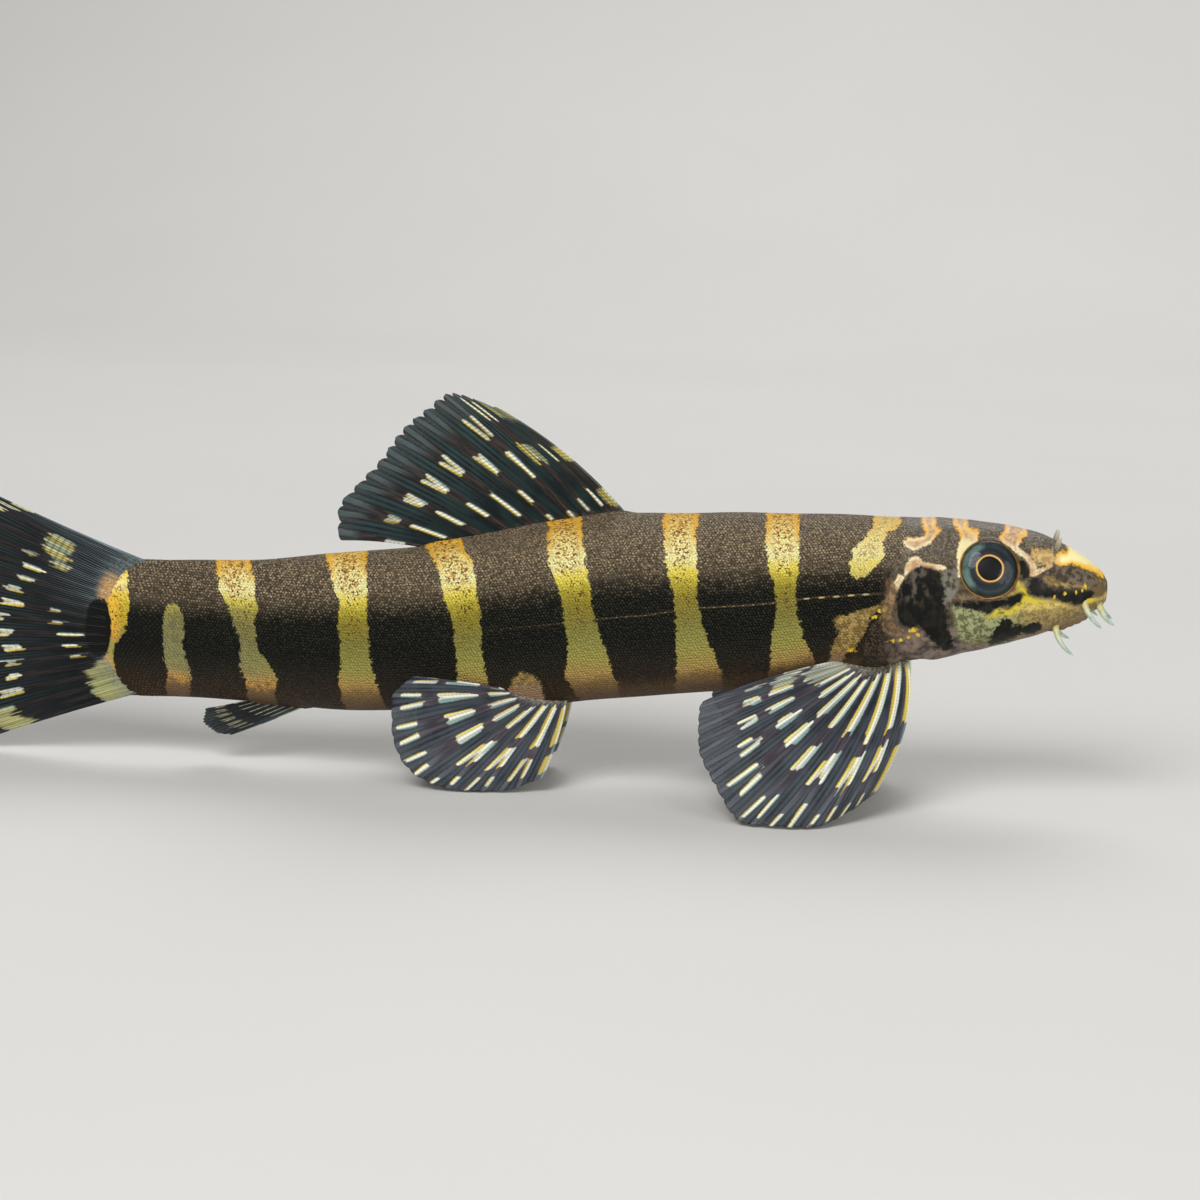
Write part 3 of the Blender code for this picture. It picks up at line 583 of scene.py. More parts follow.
# %% Numbers and colours of nodes
class Value:
    """A number or colour worked out by nodes, so that sums can be written with + - *."""

    def __init__(self, nodes, socket):
        self.nodes, self.socket = nodes, socket

    def __add__(self, other):
        return self.nodes.sum("ADD", self, other)

    def __sub__(self, other):
        return self.nodes.sum("SUBTRACT", self, other)

    def __rsub__(self, other):
        return self.nodes.sum("SUBTRACT", other, self)

    def __mul__(self, other):
        return self.nodes.sum("MULTIPLY", self, other)

    def step(self, start, end):
        """0 where the number is at start, 1 where it is at end."""
        return self.nodes.add("MapRange", 0, {"Value": self, "From Min": start, "From Max": end},
                              interpolation_type="SMOOTHSTEP")

    def span(self, start, full, until, end):
        """0 up to start, 1 from full until the third number, and 0 again from end."""
        return self.step(start, full) * self.step(end, until)

# %% The nodes of one material
class Nodes:
    """The node tree of one material, with a short name for each kind of node used here."""

    def __init__(self, name):
        self.material = bpy.data.materials.new(name)
        self.material.use_nodes = True
        self.tree = self.material.node_tree
        self.shader = self.tree.nodes["Principled BSDF"]
        self.output = self.tree.nodes["Material Output"]
        self.where = self.add("TexCoord", "Object", {})

    def put(self, socket, value):
        if isinstance(value, Value):
            self.tree.links.new(value.socket, socket)
        else:
            socket.default_value = value

    def add(self, kind, output, inputs, **settings):
        """One new node with its inputs and settings; gives what comes out of it."""
        node = self.tree.nodes.new("ShaderNode" + kind)
        for key, value in settings.items():
            setattr(node, key, value)
        for key, value in inputs.items():
            self.put(node.inputs[key], value)
        return Value(self, node.outputs[output])

    def number(self, name):
        return self.add("Attribute", "Fac", {}, attribute_name=name)

    def sum(self, operation, first, second=0.0):
        return self.add("Math", 0, {0: first, 1: second}, operation=operation)

    def blend(self, share, under, over):
        """Colours are others' results, or the 0 to 255 values of a colour picker."""
        under, over = (paint(*c) if isinstance(c, tuple) else c for c in (under, over))
        return self.add("Mix", 2, {0: share, 6: under, 7: over}, data_type="RGBA")

    def shades(self, value, start, end, first, last):
        """The first colour up to start, the last from end and a soft step between."""
        return self.blend(value.step(start, end), first, last)

    def layered(self, colour, *layers):
        """A colour with others laid over it in turn, each by its share."""
        for share, over in layers:
            colour = self.blend(share, colour, over)
        return colour

    def ramp(self, value, stops):
        node = self.tree.nodes.new("ShaderNodeValToRGB")
        self.put(node.inputs[0], value)
        elements = node.color_ramp.elements
        for element, (place, colour) in zip(elements, (stops[0], stops[-1])):
            element.position, element.color = place, paint(*colour)
        for place, colour in stops[1:-1]:
            elements.new(place).color = paint(*colour)
        return Value(self, node.outputs[0])

    def noise(self, period, detail=2.0, seed=0.0, stretch=(1.0, 1.0, 1.0)):
        """Soft noise from 0 to 1 whose patches are about period millimetres across."""
        scale = tuple(s / (period * MM) for s in stretch)
        moved = self.add("Mapping", 0, {
            "Vector": self.where, "Location": (seed, seed * 0.7, -seed), "Scale": scale})
        return self.cloud(moved, detail)

    def cloud(self, vector, detail):
        return self.add("TexNoise", "Fac", {"Vector": vector, "Scale": 1.0, "Detail": detail})

    def bumped(self, height, depth):
        """Fine relief, depth millimetres deep, on the shader's normal."""
        relief = self.add("Bump", 0, {"Height": height, "Distance": depth * MM})
        self.put(self.shader.inputs["Normal"], relief)

    def finish(self, colour, roughness, coat=0.0, specular=0.5, alpha=1.0):
        inputs = {"Base Color": colour, "Roughness": roughness, "Coat Weight": coat,
                  "Coat Roughness": 0.25, "Specular IOR Level": specular, "Alpha": alpha}
        for key, value in inputs.items():
            self.put(self.shader.inputs[key], value)
        return self.material

# %% [markdown]
# ## Paint of the skin
# On the flank each scale has a pale middle and a dark rim, so the brown back looks peppered and
# the black bands look hatched with green. `rim` is 0 in the middle of a scale and 1 at its edge,
# and `own` is a small number of each scale's own; both are 0 on the bare skin. The ragged border
# of a bar is the distance to it, shifted by noise and by `own`, so that it steps along the scales.

# %% Numbers that the skin's paint is worked out from
class SkinNodes(Nodes):
    """Nodes of the skin's paint, with the numbers and noises that all its marks share."""

    def __init__(self, name):
        super().__init__(name)
        self.rise, self.x, self.own, self.rim = map(self.number, ("rise", "place", "own", "rim"))
        self.coarse, self.fine = self.noise(1.1, 3.0), self.noise(0.34, 2.0, 4.0)
        self.grain = self.noise(0.15, 1.0, 9.0)
        self.mottle = self.fine * 0.6 + self.grain * 0.4
        wide_shift, fine_shift = (self.coarse - 0.5) * 0.42, (self.fine - 0.5) * 0.42
        self.shift = wide_shift + fine_shift + ((self.grain - 0.5) * 0.30 + self.own * 0.07)
        unevenness = (self.coarse - 0.5) * 0.07 + (self.fine - 0.5) * 0.05
        self.level = self.rise + unevenness + self.own * 0.012
        self.ragged_level = self.level + (self.grain - 0.5) * 0.06

    def inside(self, key, soft=0.05, grow=0.0, ragged=1.0):
        """1 well inside a marking and 0 outside it, with a soft ragged border."""
        return (self.number(key) + self.shift * ragged).step(soft + grow, grow - soft)

# %% Ground colour
def ground(n):
    """Dark brown belly, black flank and brown back, with the head's own ground in front."""
    rise, x, fine = n.rise, n.x, n.fine
    head = x.step(23.6, 25.6)
    temple = x.span(27.5, 27.9, 28.5, 28.9) * rise.span(0.42, 0.5, 0.66, 0.74)
    return n.layered(
        n.ramp(n.level, (
            (0.00, (46, 34, 22)), (0.12, (42, 32, 21)), (0.24, (30, 26, 17)), (0.38, (9, 9, 5)),
            (0.60, (11, 11, 6)), (0.67, (40, 36, 27)), (0.74, (90, 78, 60)),
            (0.90, (106, 92, 71)), (1.00, (102, 91, 74)))),
        # Warmer under the breast, darker on the tail's stalk
        (n.ragged_level.step(0.15, 0.09) * x.step(3.0, 8.0) * 0.8, (88, 66, 42)),
        (x.step(-4.0, -20.0) * rise.step(0.6, 0.8) * 0.55, (66, 57, 45)),
        # Head: olive brown on the side, violet brown under the gill cover, greyer on the crown
        (head * rise.span(0.27, 0.36, 0.70, 0.80) * 0.9,
         n.shades(fine, 0.36, 0.64, (68, 60, 46), (108, 96, 76))),
        (head * rise.step(0.34, 0.22),
         n.shades(n.coarse * 0.6 + fine * 0.4, 0.40, 0.60, (74, 64, 60), (136, 118, 104))),
        (head * rise.step(0.72, 0.82) * 0.8,
         n.shades(fine, 0.34, 0.66, (82, 76, 66), (114, 106, 92))),
        (temple * fine.step(0.35, 0.6), (124, 121, 108)),
        (x.step(36.7, 37.5) * 0.85, (114, 94, 58)))


def peppered(n, colour, scaled):
    """Each scale is pale in the middle and dark at its rim, and the back is grainy."""
    warm = n.ramp(n.level, (
        (0.0, (104, 80, 54)), (0.2, (58, 50, 34)), (0.35, (40, 40, 25)),
        (0.6, (54, 52, 32)), (0.72, (146, 128, 98)), (0.8, (192, 168, 132))))
    pale_middle = n.rim.step(0.85, 0.20) * n.own.step(-0.9, 1.1)
    return n.layered(
        colour, (pale_middle * (0.80 if scaled else 0.0), warm),
        (n.rim.step(0.55, 1.0) * n.rise.step(0.64, 0.74) * 0.5, (52, 44, 34)),
        (n.grain.step(0.50, 0.66) * n.rise.step(0.62, 0.76) * 0.52, (46, 38, 29)),
        (n.grain.step(0.46, 0.36) * n.rise.step(0.66, 0.80) * 0.42, (166, 146, 116)))

# %% [markdown]
# The gold bars aren't one gold. Each is orange and cream at the back, yellow under that, olive
# along the flank and a darker tan at the belly, which is partly the bars' own tone and partly
# painted shade under the body. The bars of the tail's stalk are duller, and the last one turns
# orange where it meets the fin. Over that lie amber and brown specks.

# %% Gold bars and tan patches
def gold_bar(n):
    rise, x, fine, grain = n.rise, n.x, n.fine, n.grain
    edge = n.number("bar")
    deep = edge.step(-0.16, -0.60)
    dulled = x.step(-13.0, -19.0) * rise.span(0.14, 0.24, 0.60, 0.84) * x.step(-24.2, -23.6)
    stalk_low = x.step(-9.0, -15.0) * n.ragged_level.span(0.10, 0.15, 0.16, 0.24)
    amber = (n.noise(0.20, 1.0, 17.0) + n.own * 0.03).step(0.50, 0.59) * (deep * 0.72 + 0.08)
    spots = (grain + fine * 0.35).step(0.735, 0.825) * (deep * 0.66 + 0.26)
    return n.layered(
        # Darker towards the belly: partly the bars' own tone and partly painted shade under the
        # body
        n.ramp(n.level, (
            (0.00, (94, 74, 56)), (0.08, (112, 88, 62)), (0.14, (134, 106, 64)),
            (0.20, (180, 148, 84)), (0.28, (162, 152, 76)), (0.36, (148, 144, 72)),
            (0.46, (134, 128, 60)), (0.58, (146, 132, 46)), (0.66, (188, 172, 58)),
            (0.73, (244, 224, 92)), (0.80, (255, 248, 178)), (0.90, (255, 240, 158)),
            (1.00, (240, 192, 78)))),
        (edge.step(-0.50, -0.06) * rise.step(0.82, 0.95) * 0.8, (246, 180, 30)),
        # The tail's stalk, and the last bar at the fin
        (dulled * 0.62, n.shades(fine, 0.40, 0.60, (112, 112, 92), (142, 140, 96))),
        (stalk_low * (fine.step(0.40, 0.56) * 0.58 + 0.12),
         n.shades(grain, 0.42, 0.58, (220, 176, 84), (190, 130, 68))),
        (x.step(-25.75, -26.15) * rise.span(0.34, 0.48, 0.70, 0.82) * 0.75,
         n.shades(fine, 0.40, 0.60, (232, 150, 50), (230, 184, 84))),
        (x.step(-24.6, -25.2) * rise.step(0.42, 0.56) * 0.4, (244, 206, 56)),
        # Specks, the scales' rims, and a paler short bar behind the nape
        (amber * rise.step(0.70, 0.84), (192, 120, 40)),
        (spots * rise.step(0.30, 0.62), (88, 56, 22)),
        (n.rim.step(0.45, 1.0) * 0.20, (92, 78, 30)),
        (x.step(20.6, 21.4) * 0.35, (238, 222, 150)))


def tan_patch(n):
    collar = n.rise.step(0.42, 0.50) * n.x.span(23.4, 24.0, 28.0, 30.0)
    return n.layered(
        n.shades(n.fine, 0.40, 0.62, (126, 102, 58), (172, 146, 84)),
        (n.rise.step(0.22, 0.08), (150, 120, 96)),
        (collar, n.shades(n.fine, 0.40, 0.62, (84, 66, 46), (124, 98, 68))))

# %% [markdown]
# The head is marbled. Its cheek is olive and its lip yellow, cream squiggles cross its top, and
# black patches with a brown lattice lie on the gill cover, under the eye and along the snout.

# %% Marks of the head
def cheek_and_lip(n):
    rise, x, mottle = n.rise, n.x, n.mottle
    lip = n.layered(
        n.shades(mottle, 0.40, 0.60, (176, 150, 78), (220, 198, 116)),
        (rise.step(0.36, 0.26) * 0.85, n.shades(mottle, 0.42, 0.58, (112, 96, 62), (156, 136, 88))))
    upper = n.number("cheek").step(-0.75, -0.15) * rise.step(0.24, 0.34)
    upper = upper * x.span(30.2, 31.2, 33.2, 35.0)
    return n.layered(
        n.shades(mottle, 0.42, 0.58, (98, 102, 66), (164, 166, 120)),
        (x.step(31.2, 33.6), lip),
        (upper * (n.fine + n.grain * 0.4).step(0.50, 0.70), (216, 194, 54)),
        (rise.step(0.20, 0.04) * 0.75, (116, 96, 72)))


def cream_squiggle(n):
    """Fleshy cream, paler at its rim, orange at the very top and bright gold on the nose."""
    rise, x = n.rise, n.x
    edge = n.number("cream") + n.shift * 0.35
    by_eye = x.span(28.0, 28.5, 29.5, 29.9) * rise.step(0.94, 0.86)
    pale_rim = edge.step(-0.30, -0.04) * (n.coarse + n.grain * 0.35).step(0.54, 0.80)
    return n.layered(
        n.shades(n.mottle, 0.42, 0.60, (216, 182, 138), (180, 138, 98)),
        (by_eye * 0.85, (248, 236, 176)), (pale_rim, (252, 240, 196)),
        (rise.step(0.86, 0.95) * edge.step(-0.30, -0.08) * 0.85, (246, 186, 70)),
        (x.step(34.5, 35.3), n.shades(edge, -0.04, -0.30, (248, 190, 46), (255, 244, 176))))


def dark_mark(n):
    """Black with a brown lattice, browner over the snout and at the pectoral root."""
    lattice = n.noise(0.42, 2.0, 14.0, (1.0, 1.0, 0.7)).step(0.44, 0.66)
    lit_part = n.x.step(27.6, 26.2) * n.rise.step(0.42, 0.58)
    return n.layered(
        n.blend(lattice * (lit_part * 0.62 + 0.07), (11, 12, 8), (112, 100, 84)),
        (n.x.step(33.5, 34.6) * n.rise.step(0.48, 0.60) * 0.9,
         n.shades(n.fine, 0.38, 0.64, (66, 56, 46), (124, 108, 88))),
        (n.x.step(24.9, 24.6) * 0.85,
         n.shades(n.grain, 0.44, 0.60, (38, 31, 26), (84, 68, 54))))

# %% [markdown]
# All marks are laid over the ground in one order, as a painter would: what lies on top comes last.
# One function makes both the bare skin's material and the scales', so they can't drift apart.

# %% Skin material
def skin_material(name, scaled):
    """The paint of the bare skin or of the scales on it."""
    n = SkinNodes(name)
    rise, x, inside = n.rise, n.x, n.inside
    snout = x.step(32.6, 33.4)
    blush = n.layered(n.shades(n.fine, 0.40, 0.62, (120, 96, 70), (170, 138, 98)),
                      (snout, n.shades(n.fine, 0.38, 0.58, (186, 150, 98), (228, 194, 126))))
    gilt = inside("cream", 0.06, 0.07, ragged=0.6) * (rise.step(0.84, 0.96) * 0.65 + 0.12)
    # The rim of the eye is a thin line, gilded behind and in front and dark above
    gilding = n.blend(rise.step(0.84, 0.92),
                      n.shades(n.coarse, 0.40, 0.62, (232, 190, 112), (160, 112, 62)), (84, 70, 50))
    thread = n.number("line").step(0.09, 0.03) * x.step(-6.0, 16.0) * x.step(24.2, 23.9)
    colour = n.layered(
        peppered(n, ground(n), scaled), (inside("tan", 0.10), tan_patch(n)),
        (inside("bar"), gold_bar(n)), (inside("cheek", 0.16, ragged=0.8), cheek_and_lip(n)),
        (gilt, (206, 146, 58)), (inside("cream", 0.07, ragged=0.7), cream_squiggle(n)),
        (inside("pink", 0.14, ragged=1.3) * (snout * 0.3 + 0.6), blush),
        (inside("ink", 0.12, ragged=1.1), dark_mark(n)),
        (inside("gold", 0.05, ragged=0.7), (226, 190, 52)),
        (n.number("orbit").span(-0.22, -0.14, -0.09, 0.01) * 0.9, gilding),
        (inside("spot", 0.06, ragged=0.5), (9, 9, 9)), (thread * 0.35, (132, 112, 78)))
    n.bumped(n.mottle, 0.02)
    return n.finish(colour, 0.46, specular=0.17)


bare_paint = skin_material("loach_skin", scaled=False)
scale_paint = skin_material("loach_scales", scaled=True)
print("nodes in the skin's paint:", len(bare_paint.node_tree.nodes))

# %% [markdown]
# ## Put the skin on
# The skin stands for the solids' head, trunk and tail, so no seam shows between them. Its unwrap
# is its own grid laid flat: along the fish one way and round the body the other.

# %% Skin object
skin_values = markings(body_rings)
skin_values["own"], skin_values["rim"] = np.zeros((2, *body_rings.shape[:2]))


def skin_unwrap(faces, count, ring):
    """Corner by corner: the ring's number one way and the turn the other, not wrapped round."""
    spots = []
    for group in faces:
        i, j = group // ring, group % ring
        round_the_back = (j.max(axis=1) - j.min(axis=1) > ring // 2)[:, None] & (j < ring // 2)
        if group.shape[1] == 4 and len(group) > ring:
            j = np.where(round_the_back, j + ring, j)
        spots.append(np.stack((i / (count - 1), j / ring), axis=-1).reshape(-1, 2))
    return np.concatenate(spots)


skin = make_piece("skin", body_rings, skin_faces, bare_paint, "trunk", skin_values,
                  unwrap=skin_unwrap(skin_faces, ring_count, RING))
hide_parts("head", "trunk", "tail")
print("skin triangles:", triangles_of(skin))

# %% [markdown]
# ## Scales
# The scales of this loach are tiny, about a fifth of a millimetre, and the head has none. They
# grow in rows beside the lateral line, each row half a scale behind the next, and the rows run out
# along the back and belly where the body tapers. Every scale here is a small closed plate: its
# front edge is rooted under the skin and its rear edge lifts over the next one.

# %% Scale rows
SCALE_PITCH = 0.18      # between rows, round the body
SCALE_STEP = 0.20       # between scales in a row, along the body
SCALE_LENGTH = 0.158    # half lengths of a plate
SCALE_WIDTH = 0.120
SCALE_CROWN = 0.010     # how far a plate's middle stands over its rim
SCALE_LIFT = 0.011      # how far its rear edge rises and its front edge sinks
SCALE_SIDES = 6
SCALE_THICK = 0.055
SCALE_PROUD = 0.003     # how far a flat plate stands over the skin
SCALE_JITTER = (0.018, 0.005)    # how unevenly they stand, along the body and as a turn round it
SCALE_PATCH = 0.0015    # radius of a plate's patch on the unwrap
SCALES_FROM_X = -24.6
NAPE_X = 27.4           # the last and smallest scales lie here on the nape
NAPE_UP = (0.30, 0.66)  # the nape begins between these sines of the turn
GILL_CLEAR = 0.22
BARE_LOBE = (23.9, 9.6, 1.5)     # x, height and radius of the bare root of the pectoral fin


def scale_roots():
    """x and turn of every scale."""
    sweep = np.linspace(0, 0.5 * np.pi, 91)
    places = []
    for number, x in enumerate(np.arange(SCALES_FROM_X, NAPE_X, SCALE_STEP / 2)):
        for way in (1, -1):
            run = run_along(plain_skin(np.full(sweep.shape, x), way * sweep))
            row = np.arange(int(run[-1] / SCALE_PITCH) + 1)
            row = row[(row + number) % 2 == 0]
            if way < 0:
                row = row[row > 0]
            turn = way * np.interp(row * SCALE_PITCH, run, sweep)
            places.append(np.stack((np.full(len(turn), x), turn), axis=-1))
    left = np.concatenate(places)
    right = left * (1, -1) + (0, np.pi)
    return np.concatenate((left, right))


roots = scale_roots()
roots = roots + random.normal(0, 1, roots.shape) * SCALE_JITTER
up = np.sin(roots[:, 1])


def scale_front(up):
    """x where the scales end: at the gill opening on the flank, further forward on the nape."""
    nape = eased(up, *NAPE_UP)
    return (gill_edge(up) - GILL_CLEAR) * (1 - nape) + NAPE_X * nape


clear = scale_front(up) - roots[:, 0]
lobe_x, lobe_z, lobe_radius = BARE_LOBE
lobe = np.hypot(roots[:, 0] - lobe_x, plain_skin(roots[:, 0], roots[:, 1])[:, 2] - lobe_z)
roots = roots[(clear > 0) & (lobe > lobe_radius)]
print("scales:", len(roots))

# %% [markdown]
# A plate's own axes are the skin's: `rearward` along the body, `aside` round it and `out` away
# from it. The pieces are cut into a few groups, so that each stays light enough to handle.

# %% Scale plates
AHEAD = 0.05            # a step along the skin that shows which way it runs
AROUND = 0.02           # and a small turn round it
SCALE_GROUPS = (("front", 10.0, 40.0), ("middle", -5.0, 10.0), ("rear", -40.0, -5.0))


def repeated(groups, count, points_each):
    """The faces of many small forms from those of one."""
    start = np.arange(count)[:, None, None] * points_each
    return [(group[None] + start).reshape(-1, group.shape[1]) for group in groups]


def scale_group(name, roots):
    """One piece from all the scales whose roots are given."""
    x, turn = roots.T
    place, _ = skin_points(x, turn)
    ahead, _ = skin_points(x + AHEAD, turn)
    over, _ = skin_points(x, turn + AROUND)
    rearward = unit(place - ahead)
    out = unit(np.cross(over - place, ahead - place))
    aside = np.cross(out, rearward)
    angle = np.linspace(0, 2 * np.pi, SCALE_SIDES, endpoint=False)
    size = random.uniform(0.92, 1.08, (len(x), 1)) * (0.82 + 0.18 * eased(x, -24, -16))[:, None]
    nape = eased(np.sin(turn), *NAPE_UP) * (1 - eased(scale_front(np.sin(turn)) - x, 0.0, 3.2))
    proud = (1 - nape)[:, None]
    along, across = np.cos(angle) * SCALE_LENGTH * size, np.sin(angle) * SCALE_WIDTH * size
    lift = (SCALE_PROUD + SCALE_LIFT * np.cos(angle)) * proud - 0.03 * (1 - proud)
    crown = (SCALE_PROUD + SCALE_CROWN) * proud - 0.018 * (1 - proud)
    rows = [(0 * size, 0 * size, crown), (along, across, lift),
            (along * 0.94, across * 0.94, lift - SCALE_THICK)]
    points = np.concatenate([
        place[:, None] + a[..., None] * rearward[:, None] + b[..., None] * aside[:, None]
        + c[..., None] * out[:, None] for a, b, c in rows], axis=1)
    k = np.arange(SCALE_SIDES)
    following = (k + 1) % SCALE_SIDES
    top = np.stack((0 * k, 1 + k, 1 + following), axis=-1)
    low, low_following = k + SCALE_SIDES, following + SCALE_SIDES
    wall = np.stack((1 + k, 1 + low, 1 + low_following, 1 + following), axis=-1)
    faces = repeated((top, wall, 1 + low[None, ::-1]), len(x), points.shape[1])
    spots = points.reshape(-1, 3)
    values = markings(spots)
    values["own"] = np.repeat(random.uniform(-1, 1, len(x)), points.shape[1])
    values["rim"] = np.tile([0.0] + [1.0] * 2 * SCALE_SIDES, len(x))
    # Each plate's patch on the skin's own unwrap
    ring_number = np.interp(x, ring_x, np.arange(len(ring_x))) / (ring_count - 1)
    turn_share = ((turn + 0.5 * np.pi) / (2 * np.pi)) % 1.0
    patch = SCALE_PATCH * np.stack((np.cos(angle), np.sin(angle)), axis=-1)
    patch = np.concatenate(([(0.0, 0.0)], patch, patch * 0.9))
    spot = np.stack((ring_number, turn_share), axis=-1)[:, None] + patch
    corners = np.concatenate([group.ravel() for group in faces])
    piece = make_piece(name, spots, faces, scale_paint, "trunk", values,
                       unwrap=np.clip(spot.reshape(-1, 2)[corners], 0.0, 1.0))
    smooth = np.arange(len(piece.data.polygons)) < len(faces[0])
    piece.data.polygons.foreach_set("use_smooth", smooth)     # crisp rims, smooth tops
    return piece


side = np.where(np.cos(roots[:, 1]) >= 0, 1, -1)
for side_name, flip in SIDES:
    for where, start, end in SCALE_GROUPS:
        group = roots[(side == flip) & (roots[:, 0] >= start) & (roots[:, 0] < end)]
        piece = scale_group(f"scales_{side_name}_{where}", group)
        print(piece.name, "scales:", len(group), "triangles:", triangles_of(piece))

# %% [markdown]
# The lateral line is a row of tiny sense pores. Behind the gill cover they sit in pale raised
# dashes; further back they shrink to a thread.

# %% Lateral line
BEAD_RINGS, BEAD_SIDES = 5, 10


def beads(centres, axes):
    """Points and faces of small closed ellipsoids, each from its middle and its three half axes."""
    lift = np.linspace(-0.5 * np.pi, 0.5 * np.pi, BEAD_RINGS + 2)[1:-1, None]
    turn = np.linspace(0, 2 * np.pi, BEAD_SIDES, endpoint=False)[None, :]
    ball = np.stack((np.cos(lift) * np.cos(turn), np.cos(lift) * np.sin(turn),
                     np.sin(lift) + 0 * turn), axis=-1).reshape(-1, 3)
    first_pole, last_ring = len(ball), len(ball) - BEAD_SIDES
    ball = np.concatenate((ball, ((0, 0, -1), (0, 0, 1))))
    points = centres[:, None] + np.einsum("vk,nkd->nvd", ball, axes)
    k = np.arange(BEAD_SIDES)
    following = (k + 1) % BEAD_SIDES
    low = np.stack((0 * k + first_pole, following, k), axis=-1)
    high = np.stack((0 * k + first_pole + 1, last_ring + k, last_ring + following), axis=-1)
    sheet = grid_faces(BEAD_RINGS, BEAD_SIDES, wrap=True)
    return points, repeated((sheet, low, high), len(centres), len(ball))


n = Nodes("loach_pores")
pore_colour = n.blend(n.noise(0.3), (150, 124, 84), (206, 178, 128))
pore_paint = n.finish(pore_colour, 0.45, coat=0.1)
PORE_SIZE = (0.26, 0.075, 0.055)   # half sizes of the largest, along, across and out
PORE_LIFT = 0.045
pore_x = np.concatenate((np.arange(19.2, 23.6, 0.93), np.arange(-4.0, 18.8, 0.62)))
size = np.interp(pore_x, (-4.0, 8.0, 18.5, 19.2, 23.6), (0.10, 0.22, 0.34, 0.85, 1.0))
level = np.interp(pore_x, LINE_X, LINE_LEVEL)
back, belly, _, widest = section(pore_x)
z = belly + level * (back - belly)
turn = np.arcsin(np.clip((z - widest) / (back - widest), 0, 1) ** (UPPER_ROUND / 2))
for side_name, flip in SIDES:
    turn_here = turn if flip > 0 else np.pi - turn
    place, out = skin_points(pore_x, turn_here)
    ahead, _ = skin_points(pore_x + AHEAD, turn_here)
    rearward = unit(place - ahead)
    sizes = size[:, None, None] * np.array(PORE_SIZE)[:, None]
    axes = np.stack((rearward, np.cross(out, rearward), out), axis=1) * sizes
    make_piece(f"lateral_line_{side_name}", *beads(place + out * PORE_LIFT, axes),
               pore_paint, "trunk")
print("pores on each side:", len(pore_x))

# %% [markdown]
# ## Eyes
# The eye of a loach is set high and looks up and out. It has no lids: the clear cornea runs
# straight into the skin. Under it lies a dark blue-grey iris with a thin gold ring at the pupil
# and another at its outer edge, and the black lens bulges through the pupil. The iris and lens
# are one turned form here and the cornea a second, clear one over it. The iris's colours are read
# from the distance to the pupil's middle, and clouds of grey and green keep it from looking drawn.

# %% Paints of the eye
def eye_paint():
    """Rings of colour by the distance from the pupil, clouded, darker above and ahead and paler
    behind: partly the iris's own colour and partly painted shade and painted light.
    """
    n = Nodes("loach_eye")
    radius, above, ahead = map(n.number, ("radius", "above", "ahead"))
    cloud = n.noise(1.1, 2.0, 21.0) - 0.5
    wide_cloud = cloud * 2.2
    band = radius.span(1.00, 1.16, 1.68, 1.78)
    # Partly painted light and shade: dusk darkens the iris above and ahead, pale lightens it
    # behind, and top darkens its upper edge, laid over the iris's own clouded tones
    dusk = (above * 0.5 + ahead * 0.35 + wide_cloud).step(0.0, 0.75)
    pale = (above * 0.22 + ahead * -0.75 + wide_cloud).step(0.25, 0.95)
    top = radius.step(1.72, 1.80) * (above + cloud * 0.8).step(0.35, 0.72)
    colour = n.layered(
        n.ramp((radius + (n.noise(0.5, 3.0) - 0.5) * 0.10) * 0.5, (
            (0.000, (4, 5, 7)), (0.382, (4, 5, 7)), (0.394, (190, 140, 60)),
            (0.425, (244, 208, 120)), (0.445, (160, 108, 44)), (0.470, (48, 50, 58)),
            (0.580, (28, 33, 38)), (0.660, (24, 34, 38)), (0.740, (40, 56, 56)),
            (0.800, (32, 46, 46)), (0.860, (20, 26, 26)), (0.905, (60, 56, 40)),
            (0.925, (226, 184, 108)), (0.945, (206, 156, 92)), (1.000, (150, 112, 70)))),
        (dusk * band * 0.75, (26, 30, 36)),
        (pale * band * radius.step(1.15, 1.45) * 0.80, (108, 138, 128)),
        (top * 0.9, (62, 55, 44)))
    n.bumped(n.noise(0.16, 2.0, 3.0), 0.02)
    return n.finish(colour, 0.5, specular=0.2)


def cornea_paint():
    """Clear, with a faint gloss."""
    n = Nodes("loach_cornea")
    clear = n.add("BsdfTransparent", 0, {})
    gloss = n.add("BsdfGlossy", 0, {"Roughness": 0.06})
    n.put(n.output.inputs["Surface"], n.add("MixShader", 0, {0: 0.018, 1: clear, 2: gloss}))
    return n.material

# %% [markdown]
# Iris and cornea are flattened domes of their own height. On the iris stand the lens, a raised
# ring round it and, beyond a shallow trough, a low fold near the outer edge.

# %% Eye pieces
PUPIL_RADIUS = 0.77
CORNEA_HEIGHT = 0.90
IRIS_HEIGHT = 0.66
LENS_HEIGHT = 0.10
EYE_FULLNESS = 2.5
EYE_RING = 72
EYE_BACK = 0.7          # the hidden back of the eye lies this far behind its middle
IRIS_FOLDS = ((0.86, 0.07, 0.035), (1.2, 0.2, -0.04), (1.55, 0.10, 0.03))  # radius, width, height


def tube_faces(rows, sides):
    """Faces of a form made of rings, closed at both ends."""
    first = np.arange(sides)[None]
    last = (rows - 1) * sides + first
    return [grid_faces(rows, sides, wrap=True)[:, ::-1], first, last[:, ::-1]]


